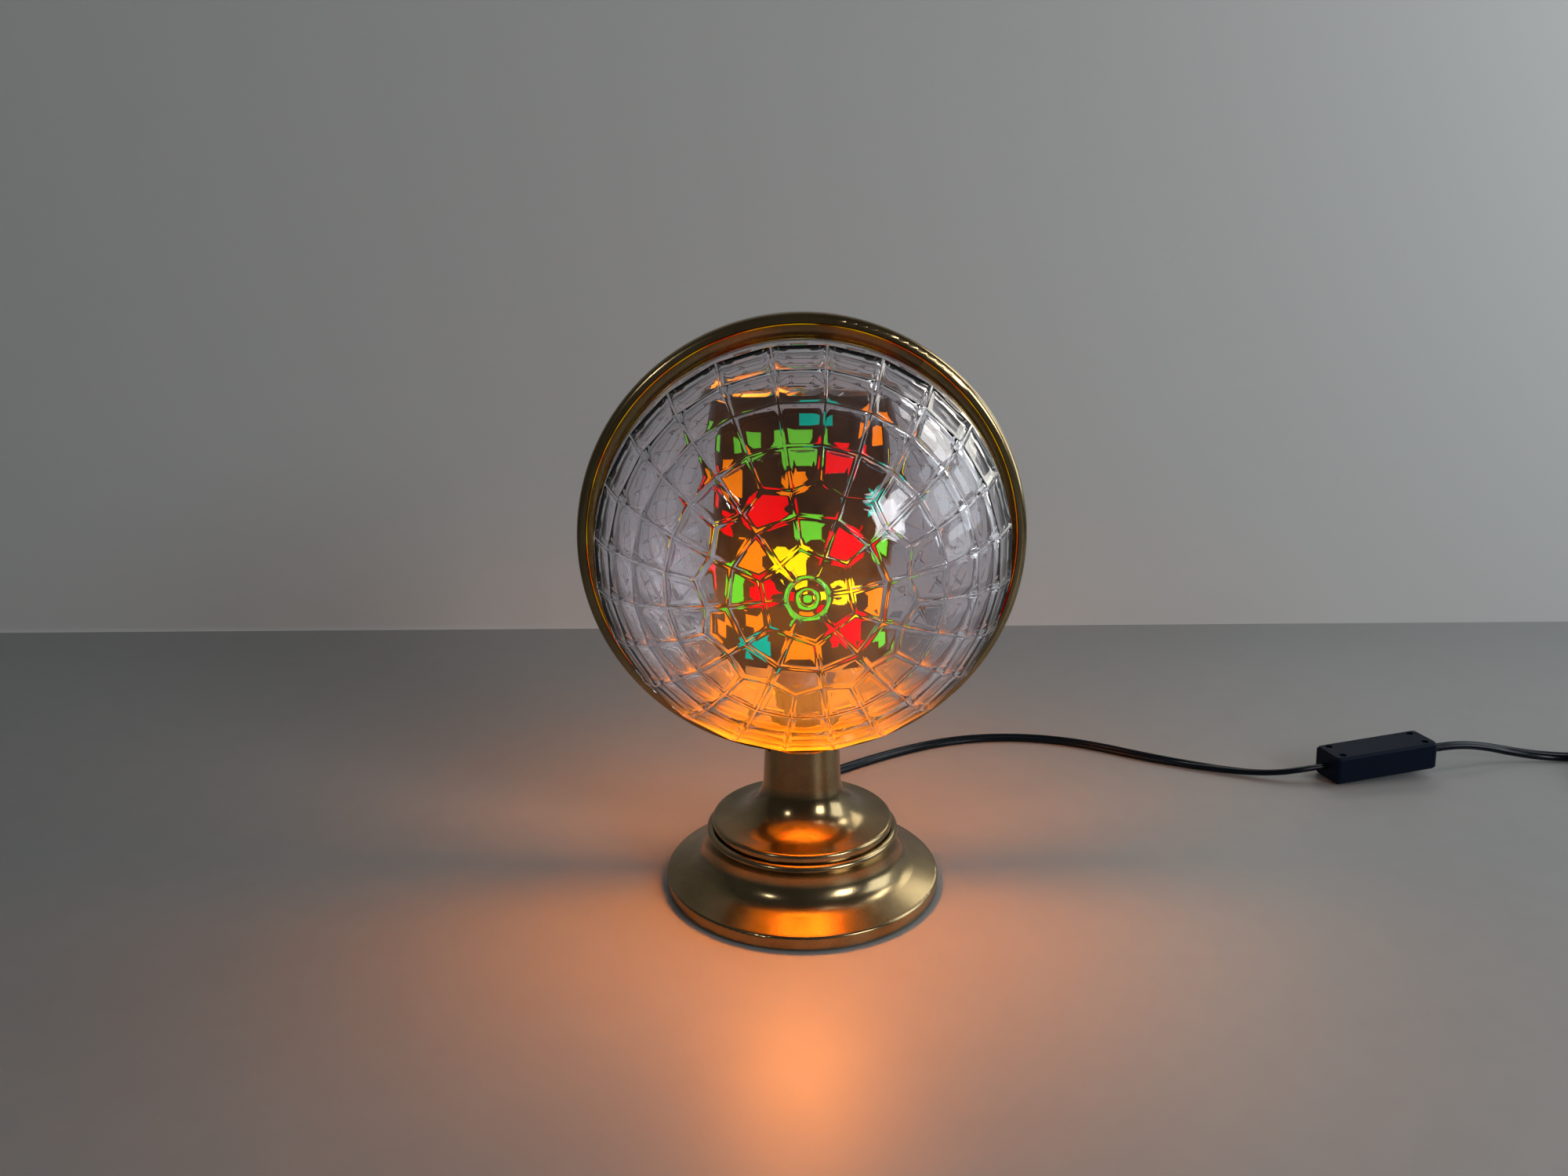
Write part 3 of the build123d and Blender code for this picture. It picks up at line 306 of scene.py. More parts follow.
def ring_brass(colours):
    """Satin brass with painted shade in its groove round the lens, and a thin painted glowing line in it
    for the lit lens edge it mirrors.
    """
    finish = satin_brass(colours, "ring_brass")
    from_axis = finish.from_lens_axis()
    # Painted shade: inside the groove's edge the brass turns nearly black, where shade falls deep in the
    # groove.
    unshaded_face = rising(from_axis, *SHADED_GROOVE_EDGE)
    finish.drive("Base Color", unshaded_face.blend((0.004, 0.003, 0.003), finish.brass))
    # Painted reflection: a thin line in the groove glows red, amber and yellow in patches, for the lit
    # edge of the lens mirrored there.
    glow_patches = finish.noise(34.0, 2.0).ramp(
        (0.34, (0.3, 0.0, 0.0)),
        (0.45, (0.5, 0.06, 0.0)),
        (0.56, (0.55, 0.3, 0.0)),
        (0.66, (0.1, 0.02, 0.0)),
    )
    finish.glow(band(from_axis, *LIT_LINE).blend(BLACK, glow_patches))
    return finish


def clear_lens():
    """Clear plastic with painted light: tinted orange and glowing in patches low down, and a painted glow
    of haze round the drum's sides.
    """
    finish = Finish("clear_lens", IOR=1.5, Roughness=0.012, Transmission_Weight=1.0)
    across = finish.coordinate("X")
    height = finish.coordinate("Z")
    # Painted light: low down the lens is tinted orange and glows in patches, for the bulb's light falling
    # there.
    inside = (1.3 - (across / LIT_REACH) ** 2.0).clamped()
    lit = falling(height, *LIT_TOP) * inside
    finish.drive("Base Color", lit.blend((0.93, 0.915, 0.96), (1.0, 0.5, 0.14)))
    glow_patches = (finish.noise(42.0, 2.0) * 2.2 - 0.3).clamped()
    # Painted glow of haze round the drum's sides, for the bulb's light scattered in the plastic.
    glowing_haze_ring = band(finish.from_lens_axis(), *HAZE_GLOW_BAND)
    beside = ((across / HAZE_GLOW_SIDE) ** 2.0 - 0.6).clamped()
    beneath = falling(height, *HAZE_GLOW_TOP)
    haze_glow = (glowing_haze_ring * beside * beneath * (1.0 - lit)).blend(BLACK, (0.024, 0.021, 0.024))
    finish.glow((lit * lit * glow_patches).blend(haze_glow, (0.6, 0.17, 0.004)))
    return finish


def drum_skin():
    """Dark glossy sheet with a painted glow in clouds near the bulb, for its light shining through."""
    finish = Finish("drum_skin", Specular_IOR_Level=0.3, Roughness=0.2)
    cloud = finish.noise(45.0, 4.0)
    finish.drive("Base Color", cloud.blend((0.002, 0.0015, 0.0015), (0.008, 0.005, 0.004)))
    # Painted glow: near the bulb the dark sheet glows in clouds, for the bulb's light shining through it.
    lit = (finish.near_height(*DRUM_GLOW) * (cloud * 2.6 - 0.5)).clamped()
    finish.glow(lit.blend((0.002, 0.001, 0.001), (0.2, 0.06, 0.004)))
    finish.bump(finish.noise(160.0), 0.06, 0.0004)
    return finish


def coloured_film(name, dim, bright):
    """Coloured film with a painted glow for the bulb's light from behind, dim far from the bulb and
    bright beside it.
    """
    finish = Finish(name)
    cloud = finish.noise(120.0)
    darker = tuple(0.8 * part for part in dim)
    lighter = tuple(1.2 * part for part in dim)
    finish.drive("Base Color", cloud.blend(darker, lighter))
    finish.drive("Roughness", 0.14 + cloud * 0.12)
    # Painted glow: brighter near the bulb's height, for its light shining through the film.
    lit = ((0.95 + cloud * 0.4) * finish.near_height(*FILM_GLOW)).clamped()
    finish.glow(lit.blend(dim, bright))
    return finish


def bulb_glow():
    """Frosted glass of the lit bulb, yellower towards its top."""
    finish = Finish("bulb_glow", Roughness=0.25)
    cloud = finish.noise(70.0)
    finish.drive("Base Color", cloud.blend((0.85, 0.64, 0.4), (0.95, 0.76, 0.5)))
    start, steepness = BULB_GLOW
    climb = (finish.coordinate("Z") - start) * steepness
    lit = (climb + cloud * 0.3 - 0.15).clamped()
    finish.glow(lit.blend((0.9, 0.26, 0.02), (1.0, 0.46, 0.05)), strength=5.0)
    return finish


def grained(name, scale, dark, light, **constants):
    """A plain finish whose colour follows its grain, and that grain."""
    finish = Finish(name, **constants)
    grain = finish.noise(scale)
    finish.drive("Base Color", grain.blend(dark, light))
    return finish, grain


def raw_brass():
    """Unplated brass of the small parts."""
    finish, grain = grained("raw_brass", 900.0, (0.24, 0.16, 0.06), (0.4, 0.29, 0.12), Metallic=1.0)
    finish.drive("Roughness", 0.28 + grain * 0.2)
    return finish


def zinc_steel():
    """Zinc-plated steel of the hardware and the cap with vanes."""
    finish, grain = grained("zinc_steel", 700.0, (0.36, 0.36, 0.35), (0.52, 0.52, 0.5), Metallic=1.0)
    finish.drive("Roughness", 0.3 + grain * 0.2)
    return finish


def pin_plate():
    """Bright nickel plating of the plug's pins."""
    finish, grain = grained("pin_plate", 500.0, (0.55, 0.54, 0.52), (0.66, 0.65, 0.63), Metallic=1.0)
    finish.drive("Roughness", 0.16 + grain * 0.12)
    return finish


def black_sheath():
    """Smooth black plastic of the cord."""
    finish, grain = grained(
        "black_sheath", 420.0, (0.001, 0.003, 0.007), (0.003, 0.006, 0.011), Specular_IOR_Level=0.16
    )
    finish.drive("Roughness", 0.18 + grain * 0.1)
    finish.bump(grain, 0.08, 0.0001)
    return finish


def black_moulding():
    """Slightly rough black plastic of the switch and plug."""
    finish, grain = grained(
        "black_moulding", 1500.0, (0.001, 0.004, 0.012), (0.003, 0.008, 0.02), Specular_IOR_Level=0.07
    )
    finish.drive("Roughness", 0.34 + grain * 0.2)
    finish.bump(grain, 0.15, 0.0001)
    return finish


def dark_thermoset():
    """Dark brown moulding of the lampholder, with a painted glow towards its top where the bulb lights it
    from above.
    """
    finish, _ = grained("dark_thermoset", 800.0, (0.014, 0.011, 0.01), (0.03, 0.024, 0.02), Roughness=0.4)
    # Painted glow: the holder glows orange towards its top, for the bulb's light falling on it.
    lit = rising(finish.coordinate("Z"), *HOLDER_GLOW)
    finish.glow(lit.blend((0.35, 0.1, 0.004), (0.6, 0.2, 0.01)))
    return finish


def pad_rubber():
    """Black rubber of the foot's pads."""
    finish, _ = grained("pad_rubber", 900.0, (0.01, 0.01, 0.01), (0.03, 0.03, 0.03), Roughness=0.8)
    return finish


def cast_ballast():
    """Rough cast iron of the weight in the foot."""
    finish, grain = grained(
        "cast_ballast", 300.0, (0.012, 0.012, 0.012), (0.035, 0.035, 0.035), Roughness=0.6
    )
    finish.bump(grain, 0.4, 0.0004)
    return finish


class OBJECT_OT_finishes(bpy.types.Operator):
    """Gives the frame's own nodes their finishes"""

    bl_idname = "object.mood_light_finishes"
    bl_label = "Finishes"

    def execute(self, context):
        colours = context.scene.mood_light_colours
        for finish, nodes in (
            (satin_brass(colours), ("foot", "pedestal")),
            (ring_brass(colours), ("globe_ring",)),
            (
                raw_brass(),
                ("seat_hoop", "lens_clips", "socket_shell", "centre_contact", "bearing_cup", "bulb_cap"),
            ),
            (
                zinc_steel(),
                ("bottom_cover", "cover_screws", "threaded_tube", "base_washer", "base_nut",
                 "ring_nut", "pivot_bridge", "pivot_needle", "switch_screws", "turbine_cap"),
            ),
            (drum_skin(), ("drum_shell", "drum_hoop")),
            (bulb_glow(), ("bulb_glass", "bulb_filament")),
            (dark_thermoset(), ("lampholder",)),
            (pad_rubber(), ("foot_pads",)),
            (cast_ballast(), ("ballast",)),
            (black_sheath(), ("cord_gland", "inner_leads", "coil_tie")),
            (black_moulding(), ("switch_front", "switch_back", "switch_rocker", "plug_body")),
            (pin_plate(), ("plug_pins",)),
        ):
            for node in nodes:
                paint(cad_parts[node], finish)
        for hue in FILM_HUES:
            dim = getattr(colours, hue + "_dim")
            bright = getattr(colours, hue + "_bright")
            paint(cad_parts[hue + "_windows"], coloured_film("film_" + hue, dim, bright))
        for node in ("bulb_glass", "bulb_filament"):
            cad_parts[node].visible_shadow = False
        return {"FINISHED"}


# Modelling helpers


def deselect():
    bpy.ops.object.select_all(action="DESELECT")


def take(piece):
    """Makes a piece the only one selected."""
    deselect()
    piece.select_set(True)
    bpy.context.view_layer.objects.active = piece


def arc(centre, radius, start, end, count):
    """Points on an arc, as pairs, counted from the first axis in degrees."""
    points = []
    for step in range(count + 1):
        angle = radians(start + (end - start) * step / count)
        points.append((centre[0] + radius * cos(angle), centre[1] + radius * sin(angle)))
    return points


def single_point(name, at):
    """A mesh of one point, ready to be extruded, its object at the origin."""
    deselect()
    bpy.ops.mesh.primitive_plane_add(size=MM, location=(0, 0, 0))
    piece = bpy.context.active_object
    piece.name = name
    piece.data.name = name
    bpy.ops.object.mode_set(mode="EDIT")
    bpy.ops.mesh.select_mode(type="VERT")
    bpy.ops.mesh.select_all(action="SELECT")
    bpy.ops.mesh.merge(type="CENTER")
    bpy.ops.transform.translate(value=at)
    return piece


# Lenses: the front one is made. Its dome's centre lies a little in front of the globe's

DOME_SHIFT = 0.005
LENS_CENTRE = Vector((0, -DOME_SHIFT, GLOBE.z))
POLE = Vector((0, -1, 0))
FLANGE_RADIUS = 0.0892
FLANGE_BACK = -0.001
FLANGE_FRONT = -0.0032
BAND_RADIUS = 0.0876
HOLLOW_RADIUS = 0.0844

# Angle from the pole at which the blank's dome gives way to the plain band beside the flange
BAND_POLAR = 72.6

# Steps of the outline's arcs and of a full turn, and the widest angle that is shaded smooth
BAND_STEPS = 5
DOME_STEPS = 24
HOLLOW_STEPS = 36
LENS_STEPS = 144
LENS_SMOOTH_ANGLE = 32

# Rows of facets: angle from the pole, how many, and the first one's angle from the top
FACET_ROWS = (
    (7.8, 6, -8.7),
    (14.2, 12, 6.3),
    (23.0, 12, 6.3),
    (30.0, 24, -1.2),
    (42.0, 24, -1.2),
    (54.0, 24, -1.2),
    (66.0, 24, -1.2),
)

# A face is a facet if it is this near to the facets' distance and has this area at least
FACET_TOLERANCE = 0.00006
LEAST_FACET_AREA = 6e-6

# From a facet's edge inwards: width of a step and how steeply it falls, or rises where negative
INNER_PROFILE = ((0.0005, 0.4), (0.0005, 0.14), (0.001, -0.16), (0.0011, -0.1), (0.0011, -0.04))
OUTER_PROFILE = ((0.0007, 0.4), (0.0009, 0.24), (0.0011, 0.12), (0.0013, 0.05), (0.0013, 0.01))
LAST_INNER_POLAR = 31.0

# Button at the pole: a raised ring, a dish and a smaller ring, as radius and reach from the centre
BUTTON_PROFILE = (
    (0.0, 0.0852),
    (0.0073, 0.0852),
    (0.0073, 0.08745),
    (0.0071, 0.08772),
    (0.0067, 0.08781),
    (0.0062, 0.0877),
    (0.0052, 0.0873),
    (0.0036, 0.08706),
    (0.0031, 0.0872),
    (0.0028, 0.08742),
    (0.0025, 0.08742),
    (0.0021, 0.08718),
    (0.0012, 0.08706),
    (0.0, 0.08704),
)
BUTTON_STEPS = 64
LEAST_BUTTON_POINTS = 200


class LensSizes(bpy.types.PropertyGroup):
    facet_reach: bpy.props.FloatProperty(
        name="Facet distance", description="Distance of each facet from the dome's centre",
        default=0.08705, unit="LENGTH", precision=5,
    )
    blank_radius: bpy.props.FloatProperty(
        name="Blank radius", description="Radius of the dome before its facets are cut",
        default=0.0888, unit="LENGTH", precision=5,
    )
    pole_reach: bpy.props.FloatProperty(
        name="Pole distance", description="Distance of the flat under the button from the dome's centre",
        default=0.087, unit="LENGTH", precision=5,
    )
    ridge_round: bpy.props.FloatProperty(
        name="Ridge rounding", description="Half width of the rounded ridges between facets",
        default=0.00035, unit="LENGTH", precision=5,
    )


def turned(name, outline, steps):
    """A closed outline of pairs of radius and y, drawn by extruding a point, then spun all round."""
    points = [Vector((0, y, GLOBE.z + radius)) for radius, y in outline]
    piece = single_point(name, points[0])
    for before, after in zip(points, (*points[1:], points[0])):
        bpy.ops.mesh.extrude_region_move(TRANSFORM_OT_translate={"value": after - before})
    bpy.ops.mesh.select_all(action="SELECT")
    bpy.ops.mesh.remove_doubles(threshold=MERGE_DISTANCE)
    bpy.ops.mesh.spin(steps=steps, angle=2 * pi, center=LENS_CENTRE, axis=-POLE)
    bpy.ops.mesh.select_all(action="SELECT")
    bpy.ops.mesh.remove_doubles(threshold=MERGE_DISTANCE)
    bpy.ops.mesh.delete_loose()
    bpy.ops.mesh.select_all(action="SELECT")
    bpy.ops.mesh.normals_make_consistent(inside=False)
    bpy.ops.object.mode_set(mode="OBJECT")
    return piece


def lens_outline(sizes):
    """Closed outline of the lens, from the flange round the dome and back along the hollow."""
    flange = [
        (FLANGE_RADIUS, FLANGE_BACK),
        (FLANGE_RADIUS, FLANGE_FRONT),
        (BAND_RADIUS, FLANGE_FRONT),
    ]
    centre = (0, -DOME_SHIFT)
    band_end = -(90 - BAND_POLAR)
    band_side = arc(centre, BAND_RADIUS, 0, band_end, BAND_STEPS)
    dome = arc(centre, sizes.blank_radius, band_end, -90, DOME_STEPS)
    hollow = arc(centre, HOLLOW_RADIUS, -90, 0, HOLLOW_STEPS)
    return flange + band_side + dome + hollow + [(HOLLOW_RADIUS, FLANGE_BACK)]


def facet_direction(polar, azimuth):
    """Direction of a facet's middle, by its angle from the pole and from the top, clockwise."""
    lean = radians(polar)
    turn = radians(azimuth)
    return Vector((sin(lean) * sin(turn), -cos(lean), sin(lean) * cos(turn)))


def cut_facets(lens, sizes):
    """Cuts the blank flat under the button and at each facet."""
    cuts = [(POLE, sizes.pole_reach)]
    for polar, count, first in FACET_ROWS:
        for index in range(count):
            outward = facet_direction(polar, first + index * 360 / count)
            cuts.append((outward, sizes.facet_reach))
    take(lens)
    bpy.ops.object.mode_set(mode="EDIT")
    bpy.ops.mesh.select_mode(type="FACE")
    for outward, reach in cuts:
        bpy.ops.mesh.select_all(action="SELECT")
        bpy.ops.mesh.bisect(
            plane_co=LENS_CENTRE + outward * reach, plane_no=outward, clear_outer=True, use_fill=True
        )
    bpy.ops.object.mode_set(mode="OBJECT")


def pick_facets(lens, sizes, nearest=0.0, furthest=90.0):
    """Selects the flat facets by their planes' reach, between two angles from the pole."""
    bpy.ops.mesh.select_mode(type="FACE")
    bpy.ops.mesh.select_all(action="DESELECT")
    bpy.ops.object.mode_set(mode="OBJECT")
    for face in lens.data.polygons:
        reach = (face.center - LENS_CENTRE).dot(face.normal)
        polar = degrees(face.normal.angle(POLE))
        flat = abs(reach - sizes.facet_reach) < FACET_TOLERANCE and face.area > LEAST_FACET_AREA
        face.select = flat and nearest < polar < furthest
    bpy.ops.object.mode_set(mode="EDIT")
    return lens.data.total_face_sel


def round_ridges(lens, sizes):
    """Rounds the ridges between the flat facets."""
    take(lens)
    bpy.ops.object.mode_set(mode="EDIT")
    pick_facets(lens, sizes)
    bpy.ops.mesh.bevel(offset=sizes.ridge_round, offset_type="OFFSET", segments=3, affect="EDGES")
    bpy.ops.object.mode_set(mode="OBJECT")


def add_button(lens):
    """Unites the lens with the button at its pole."""
    outline = [(radius, LENS_CENTRE.y - reach) for radius, reach in BUTTON_PROFILE]
    button = turned("lens_button", outline, BUTTON_STEPS)
    points = len(lens.data.vertices)
    take(lens)
    union = lens.modifiers.new("button", "BOOLEAN")
    union.solver = "EXACT"
    union.operation = "UNION"
    union.object = button
    bpy.ops.object.modifier_apply(modifier=union.name)
    take(button)
    bpy.ops.object.delete()
    if len(lens.data.vertices) < points + LEAST_BUTTON_POINTS:
        raise RuntimeError("The button wasn't united with the lens")


def shape_facets(lens, sizes):
    """Sinks a cove inside each facet's edge. The inner facets bulge a little in the middle."""
    take(lens)
    bpy.ops.object.mode_set(mode="EDIT")
    shaped = 0
    for nearest, furthest, profile in (
        (0, LAST_INNER_POLAR, INNER_PROFILE),
        (LAST_INNER_POLAR, 90, OUTER_PROFILE),
    ):
        shaped += pick_facets(lens, sizes, nearest, furthest)
        for width, fall in profile:
            bpy.ops.mesh.inset(
                thickness=width, depth=-fall * width, use_individual=True, use_even_offset=False
            )
    if shaped < sum(count for _, count, _ in FACET_ROWS):
        raise RuntimeError("Some facets of the lens weren't found")
    bpy.ops.mesh.select_all(action="SELECT")
    bpy.ops.mesh.quads_convert_to_tris(quad_method="BEAUTY", ngon_method="BEAUTY")
    bpy.ops.mesh.normals_make_consistent(inside=False)
    bpy.ops.object.mode_set(mode="OBJECT")


class OBJECT_OT_lenses(bpy.types.Operator):
    """Makes the front lens with its scooped facets, and the rear lens as its turned copy"""

    bl_idname = "object.mood_light_lenses"
    bl_label = "Lenses"

    def execute(self, context):
        sizes = context.scene.mood_light_lens
        lens = turned("front_dome", lens_outline(sizes), LENS_STEPS)
        cut_facets(lens, sizes)
        round_ridges(lens, sizes)
        add_button(lens)
        shape_facets(lens, sizes)
        take(lens)
        bpy.ops.object.shade_smooth_by_angle(angle=radians(LENS_SMOOTH_ANGLE))
        paint(lens, clear_lens())
        rear = lens.copy()
        rear.data = lens.data.copy()
        rear.name = "rear_dome"
        context.collection.objects.link(rear)
        take(rear)
        rear.rotation_euler.z = pi
        bpy.ops.object.transform_apply(location=False, rotation=True, scale=False)
        for piece, node in ((lens, "front_lens"), (rear, "rear_lens")):
            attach(piece, "base")
            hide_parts(node)
            piece.visible_shadow = False
        return {"FINISHED"}


# Cord: the circles of its two cores in millimetres, and each one's turn either way to the groove

CORE_RADIUS = 1.6
CORE_OFFSET = 1.0
CORE_TURN = 124
CORE_STEPS = 10
SWITCH_CORD_LENGTH = 0.345

# Boot at the gland: its length, and its girth over the cord's at the route's first points
BOOT_LENGTH = 0.022
BOOT_GIRTHS = (1.38, 1.2, 1.0)
BOOT_SMOOTH_ANGLE = 40

# Places in millimetres, then the lean of the flat cord, in degrees from lying flat
SWITCH_ROUTE = (
    (0, 67.0, 4.2, 90),
    (0, 76.5, 4.0, 85),
    (4.5, 91.5, 3.0, 75),
    (16.5, 107.5, 2.6, 65),
    (35, 122, 2.5, 55),
    (57, 137, 2.4, 45),
    (80, 149.5, 2.4, 40),
    (102, 156.5, 2.4, 35),
    (123, 158.5, 2.4, 30),
    (143, 156.5, 2.4, 35),
    (162, 150.5, 2.4, 45),
    (179, 141.5, 2.4, 50),
    (197, 129.5, 2.4, 45),
    (215, 119.5, 2.4, 30),
    (233, 111.5, 2.4, 5),
    (249, 105, 2.8, -15),
    (263.5, 100.2, 4.6, -22),
    (277.23, 98.82, 7.22, -25),
    (289, 101, 8.1, -25),
)
PLUG_ROUTE = (
    (349.8, 112.27, 12.64, 20),
    (360.58, 114.27, 13.45, 20),
    (374.5, 117.6, 12.8, 25),
    (389.5, 121.2, 10.0, 35),
    (404.5, 123.4, 6.2, 50),
    (421, 123.4, 3.5, 70),
    (438, 122.2, 2.7, 85),
    (455, 121, 3.5, 90),
    (464.8, 121, 3.5, 90),
)
TAIL_ROUTE = (
    (507, 73.1, 9.2, 90),
    (507, 63, 9.2, 90),
    (506.2, 50, 8.2, 90),
    (505.6, 38, 7.0, 90),
    (505.6, 28, 7.0, 90),
)

# Coil: where its half turns meet, its two layers' heights, its radii and points in a half turn
COIL_X = 470.0
COIL_LOW = 3.5
COIL_HIGH = 9.2
COIL_STEP = 2.85
COIL_WIDEST = 37.0
COIL_TIGHTENINGS = 7
COIL_WIDENINGS = 6
COIL_POINTS = 8
COIL_LEAN = 90


def coil_route():
    """Points of the coil: half turns that tighten on the table, then widen again on top of them."""
    radii = [COIL_WIDEST - COIL_STEP * turn for turn in range(COIL_TIGHTENINGS + 1)]
    radii += [radii[-1] + COIL_STEP * (turn + 1) for turn in range(COIL_WIDENINGS)]
    spread = 1 / cos(pi / 2 / COIL_POINTS)
    points = []
    top = PLUG_ROUTE[-1][1]
    side = 1
    for index, radius in enumerate(radii):
        for step in range(COIL_POINTS):
            turn = pi * (step + 0.5) / COIL_POINTS
            climb = index - COIL_TIGHTENINGS + (step + 0.5) / COIL_POINTS
            lift = min(max(climb, 0), 1)
            across = COIL_X + side * radius * spread * sin(turn)
            along = top - side * radius * (1 - spread * cos(turn))
            up = COIL_LOW + (COIL_HIGH - COIL_LOW) * lift * lift * (3 - 2 * lift)
            points.append((across, along, up, COIL_LEAN))
        top -= side * 2 * radius
        side = -side
    last_radius = TAIL_ROUTE[0][0] - COIL_X
    for step in range(COIL_POINTS // 2):
        turn = pi * (step + 0.5) / COIL_POINTS
        across = COIL_X + last_radius * sin(turn) * spread
        along = top - last_radius * (1 - spread * cos(turn))
        points.append((across, along, COIL_HIGH, COIL_LEAN))
    return points


def twin_section():
    """Outline of the flat cord, two cores side by side with a groove between them."""
    outline = bpy.data.curves.new("cord_section", "CURVE")
    outline.dimensions = "2D"
    half = arc((CORE_OFFSET, 0), CORE_RADIUS, -CORE_TURN, CORE_TURN, CORE_STEPS)
    points = half + [(-across, -up) for across, up in half]
    spline = outline.splines.new("POLY")
    spline.points.add(len(points) - 1)
    for point, (across, up) in zip(spline.points, points):
        point.co = (across * MM, up * MM, 0, 1)
    spline.use_cyclic_u = True
    section = bpy.data.objects.new("cord_section", outline)
    bpy.context.collection.objects.link(section)
    section.hide_render = True
    section.hide_viewport = True
    return section


def lay_cord(name, route, section, finish):
    """A flat cord along a route, its lean given point by point."""
    curve = bpy.data.curves.new(name, "CURVE")
    curve.dimensions = "3D"
    curve.twist_mode = "Z_UP"
    curve.resolution_u = 8
    spline = curve.splines.new("NURBS")
    spline.points.add(len(route) - 1)
    for point, (x, y, z, lean) in zip(spline.points, route):
        point.co = (x * MM, y * MM, z * MM, 1)
        point.tilt = radians(lean)
    spline.order_u = 3
    spline.use_endpoint_u = True
    curve.bevel_mode = "OBJECT"
    curve.bevel_object = section
    curve.use_fill_caps = True
    cord = bpy.data.objects.new(name, curve)
    bpy.context.collection.objects.link(cord)
    cord.data.materials.append(finish.material)
    return cord


def add_boot(route, section, finish):
    """The tapered sleeve round the cord where it leaves the gland, along the cord's own route."""
    boot = lay_cord("cord_boot", route, section, finish)
    for point, girth in zip(boot.data.splines[0].points, BOOT_GIRTHS):
        point.radius = girth
    boot.data.bevel_factor_mapping_end = "SPLINE"
    boot.data.bevel_factor_end = BOOT_LENGTH / SWITCH_CORD_LENGTH
    take(boot)
    bpy.ops.object.convert(target="MESH")
    boot = bpy.context.active_object
    bpy.ops.object.mode_set(mode="EDIT")
    bpy.ops.mesh.select_all(action="SELECT")
    bpy.ops.mesh.remove_doubles(threshold=MERGE_DISTANCE)
    bpy.ops.mesh.normals_make_consistent(inside=False)
    bpy.ops.object.mode_set(mode="OBJECT")
    bpy.ops.object.shade_smooth_by_angle(angle=radians(BOOT_SMOOTH_ANGLE))
    return boot


class OBJECT_OT_cord(bpy.types.Operator):
    """Lays the cord from the gland to the switch and on to the coil and plug"""

    bl_idname = "object.mood_light_cord"
    bl_label = "Cord"

    def execute(self, context):
        sheath = black_sheath()
        section = twin_section()
        near = lay_cord("cord_to_switch", SWITCH_ROUTE, section, sheath)
        far = lay_cord("cord_to_plug", (*PLUG_ROUTE, *coil_route(), *TAIL_ROUTE), section, sheath)
        for cord, nodes in (
            (near, ("lead_to_switch",)),
            (far, ("lead_to_plug", "lead_coil", "lead_tail")),
        ):
            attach(cord, "base")
            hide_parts(*nodes)
        boot = add_boot(SWITCH_ROUTE, section, sheath)
        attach(boot, "base")
        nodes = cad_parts
        return {"FINISHED"}


# Stage: the table ends at its far edge, and the wall stands just behind it

TABLE_EDGE = 0.392
WALL_PLACE = 0.394

# Corners in a new plane's own order: low left, low right, high left, high right
TABLE_CORNERS = ((-3, -2.5, 0), (3, -2.5, 0), (-3, TABLE_EDGE, 0), (3, TABLE_EDGE, 0))
WALL_CORNERS = ((-3, WALL_PLACE, -0.4), (3, WALL_PLACE, -0.4), (-3, WALL_PLACE, 3), (3, WALL_PLACE, 3))

# The room's light on the object, and how bright the room looks in a mirror
ROOM_SHADE = (0.19, 0.196, 0.202)
MIRRORED_ROOM_SHADE = (0.06, 0.062, 0.064)

# Square lamps: name, place, the point they face, width, watts and colour
LAMPS = (
    ("window_right", (1.08, 0.06, 0.5), (0.0, 0.06, 0.46), 0.6, 3.4, (0.86, 0.94, 1.0)),
    ("window_back", (0.72, 0.32, 0.82), (0.0, 0.0, 0.1), 0.26, 1.3, (1.0, 0.99, 0.95)),
    ("window_front", (1.15, -1.1, 0.75), (0.1, -0.2, 0.0), 0.5, 8.0, (0.97, 0.98, 1.0)),
    ("lamp_left", (-0.75, -0.9, 0.8), (0.0, 0.0, 0.05), 0.07, 0.9, (0.97, 0.98, 1.0)),
    ("window_low", (0.36, 0.36, 0.34), (0.36, -1.0, 0.34), 0.2, 0.3, (1.0, 0.98, 0.86)),
)
BULB_PLACE = (0, -0.007, 0.128)
BULB_RADIUS = 0.015

# Camera of the photo: lens and sensor in millimetres, angles in degrees
CAMERA_PLACE = (-0.0108, -0.4806, 0.2691)
CAMERA_TURN = -0.37
CAMERA_DIP = 15.19
CAMERA_ROLL = -0.30
CAMERA_LENS = 26.46
CAMERA_SENSOR = 36.0
CAMERA_NEAREST = 0.01


class StageSettings(bpy.types.PropertyGroup):
    table_dark: bpy.props.FloatVectorProperty(
        name="Table, dark", description="Colour of the table where it is darkest",
        default=(0.23, 0.233, 0.233), subtype="COLOR", min=0.0,
    )
    table_light: bpy.props.FloatVectorProperty(
        name="Table, light", description="Colour of the table where it is lightest",
        default=(0.255, 0.26, 0.255), subtype="COLOR", min=0.0,
    )
    wall: bpy.props.FloatVectorProperty(
        name="Wall", description="Colour of the wall behind the table",
        default=(0.5, 0.51, 0.5), subtype="COLOR", min=0.0,
    )
    bulb_power: bpy.props.FloatProperty(
        name="Bulb power", description="Power of the light inside the drum",
        default=1.65, unit="POWER", min=0.0,
    )
    bulb_colour: bpy.props.FloatVectorProperty(
        name="Bulb colour", description="Colour of the light inside the drum",
        default=(1.0, 0.28, 0.025), subtype="COLOR", min=0.0,
    )


def table_finish(settings):
    """Pale tabletop, half matt, with faint clouds."""
    finish = Finish("pale_table", Roughness=0.45)
    finish.drive("Base Color", finish.noise(60.0, 4.0).blend(settings.table_dark, settings.table_light))
    return finish


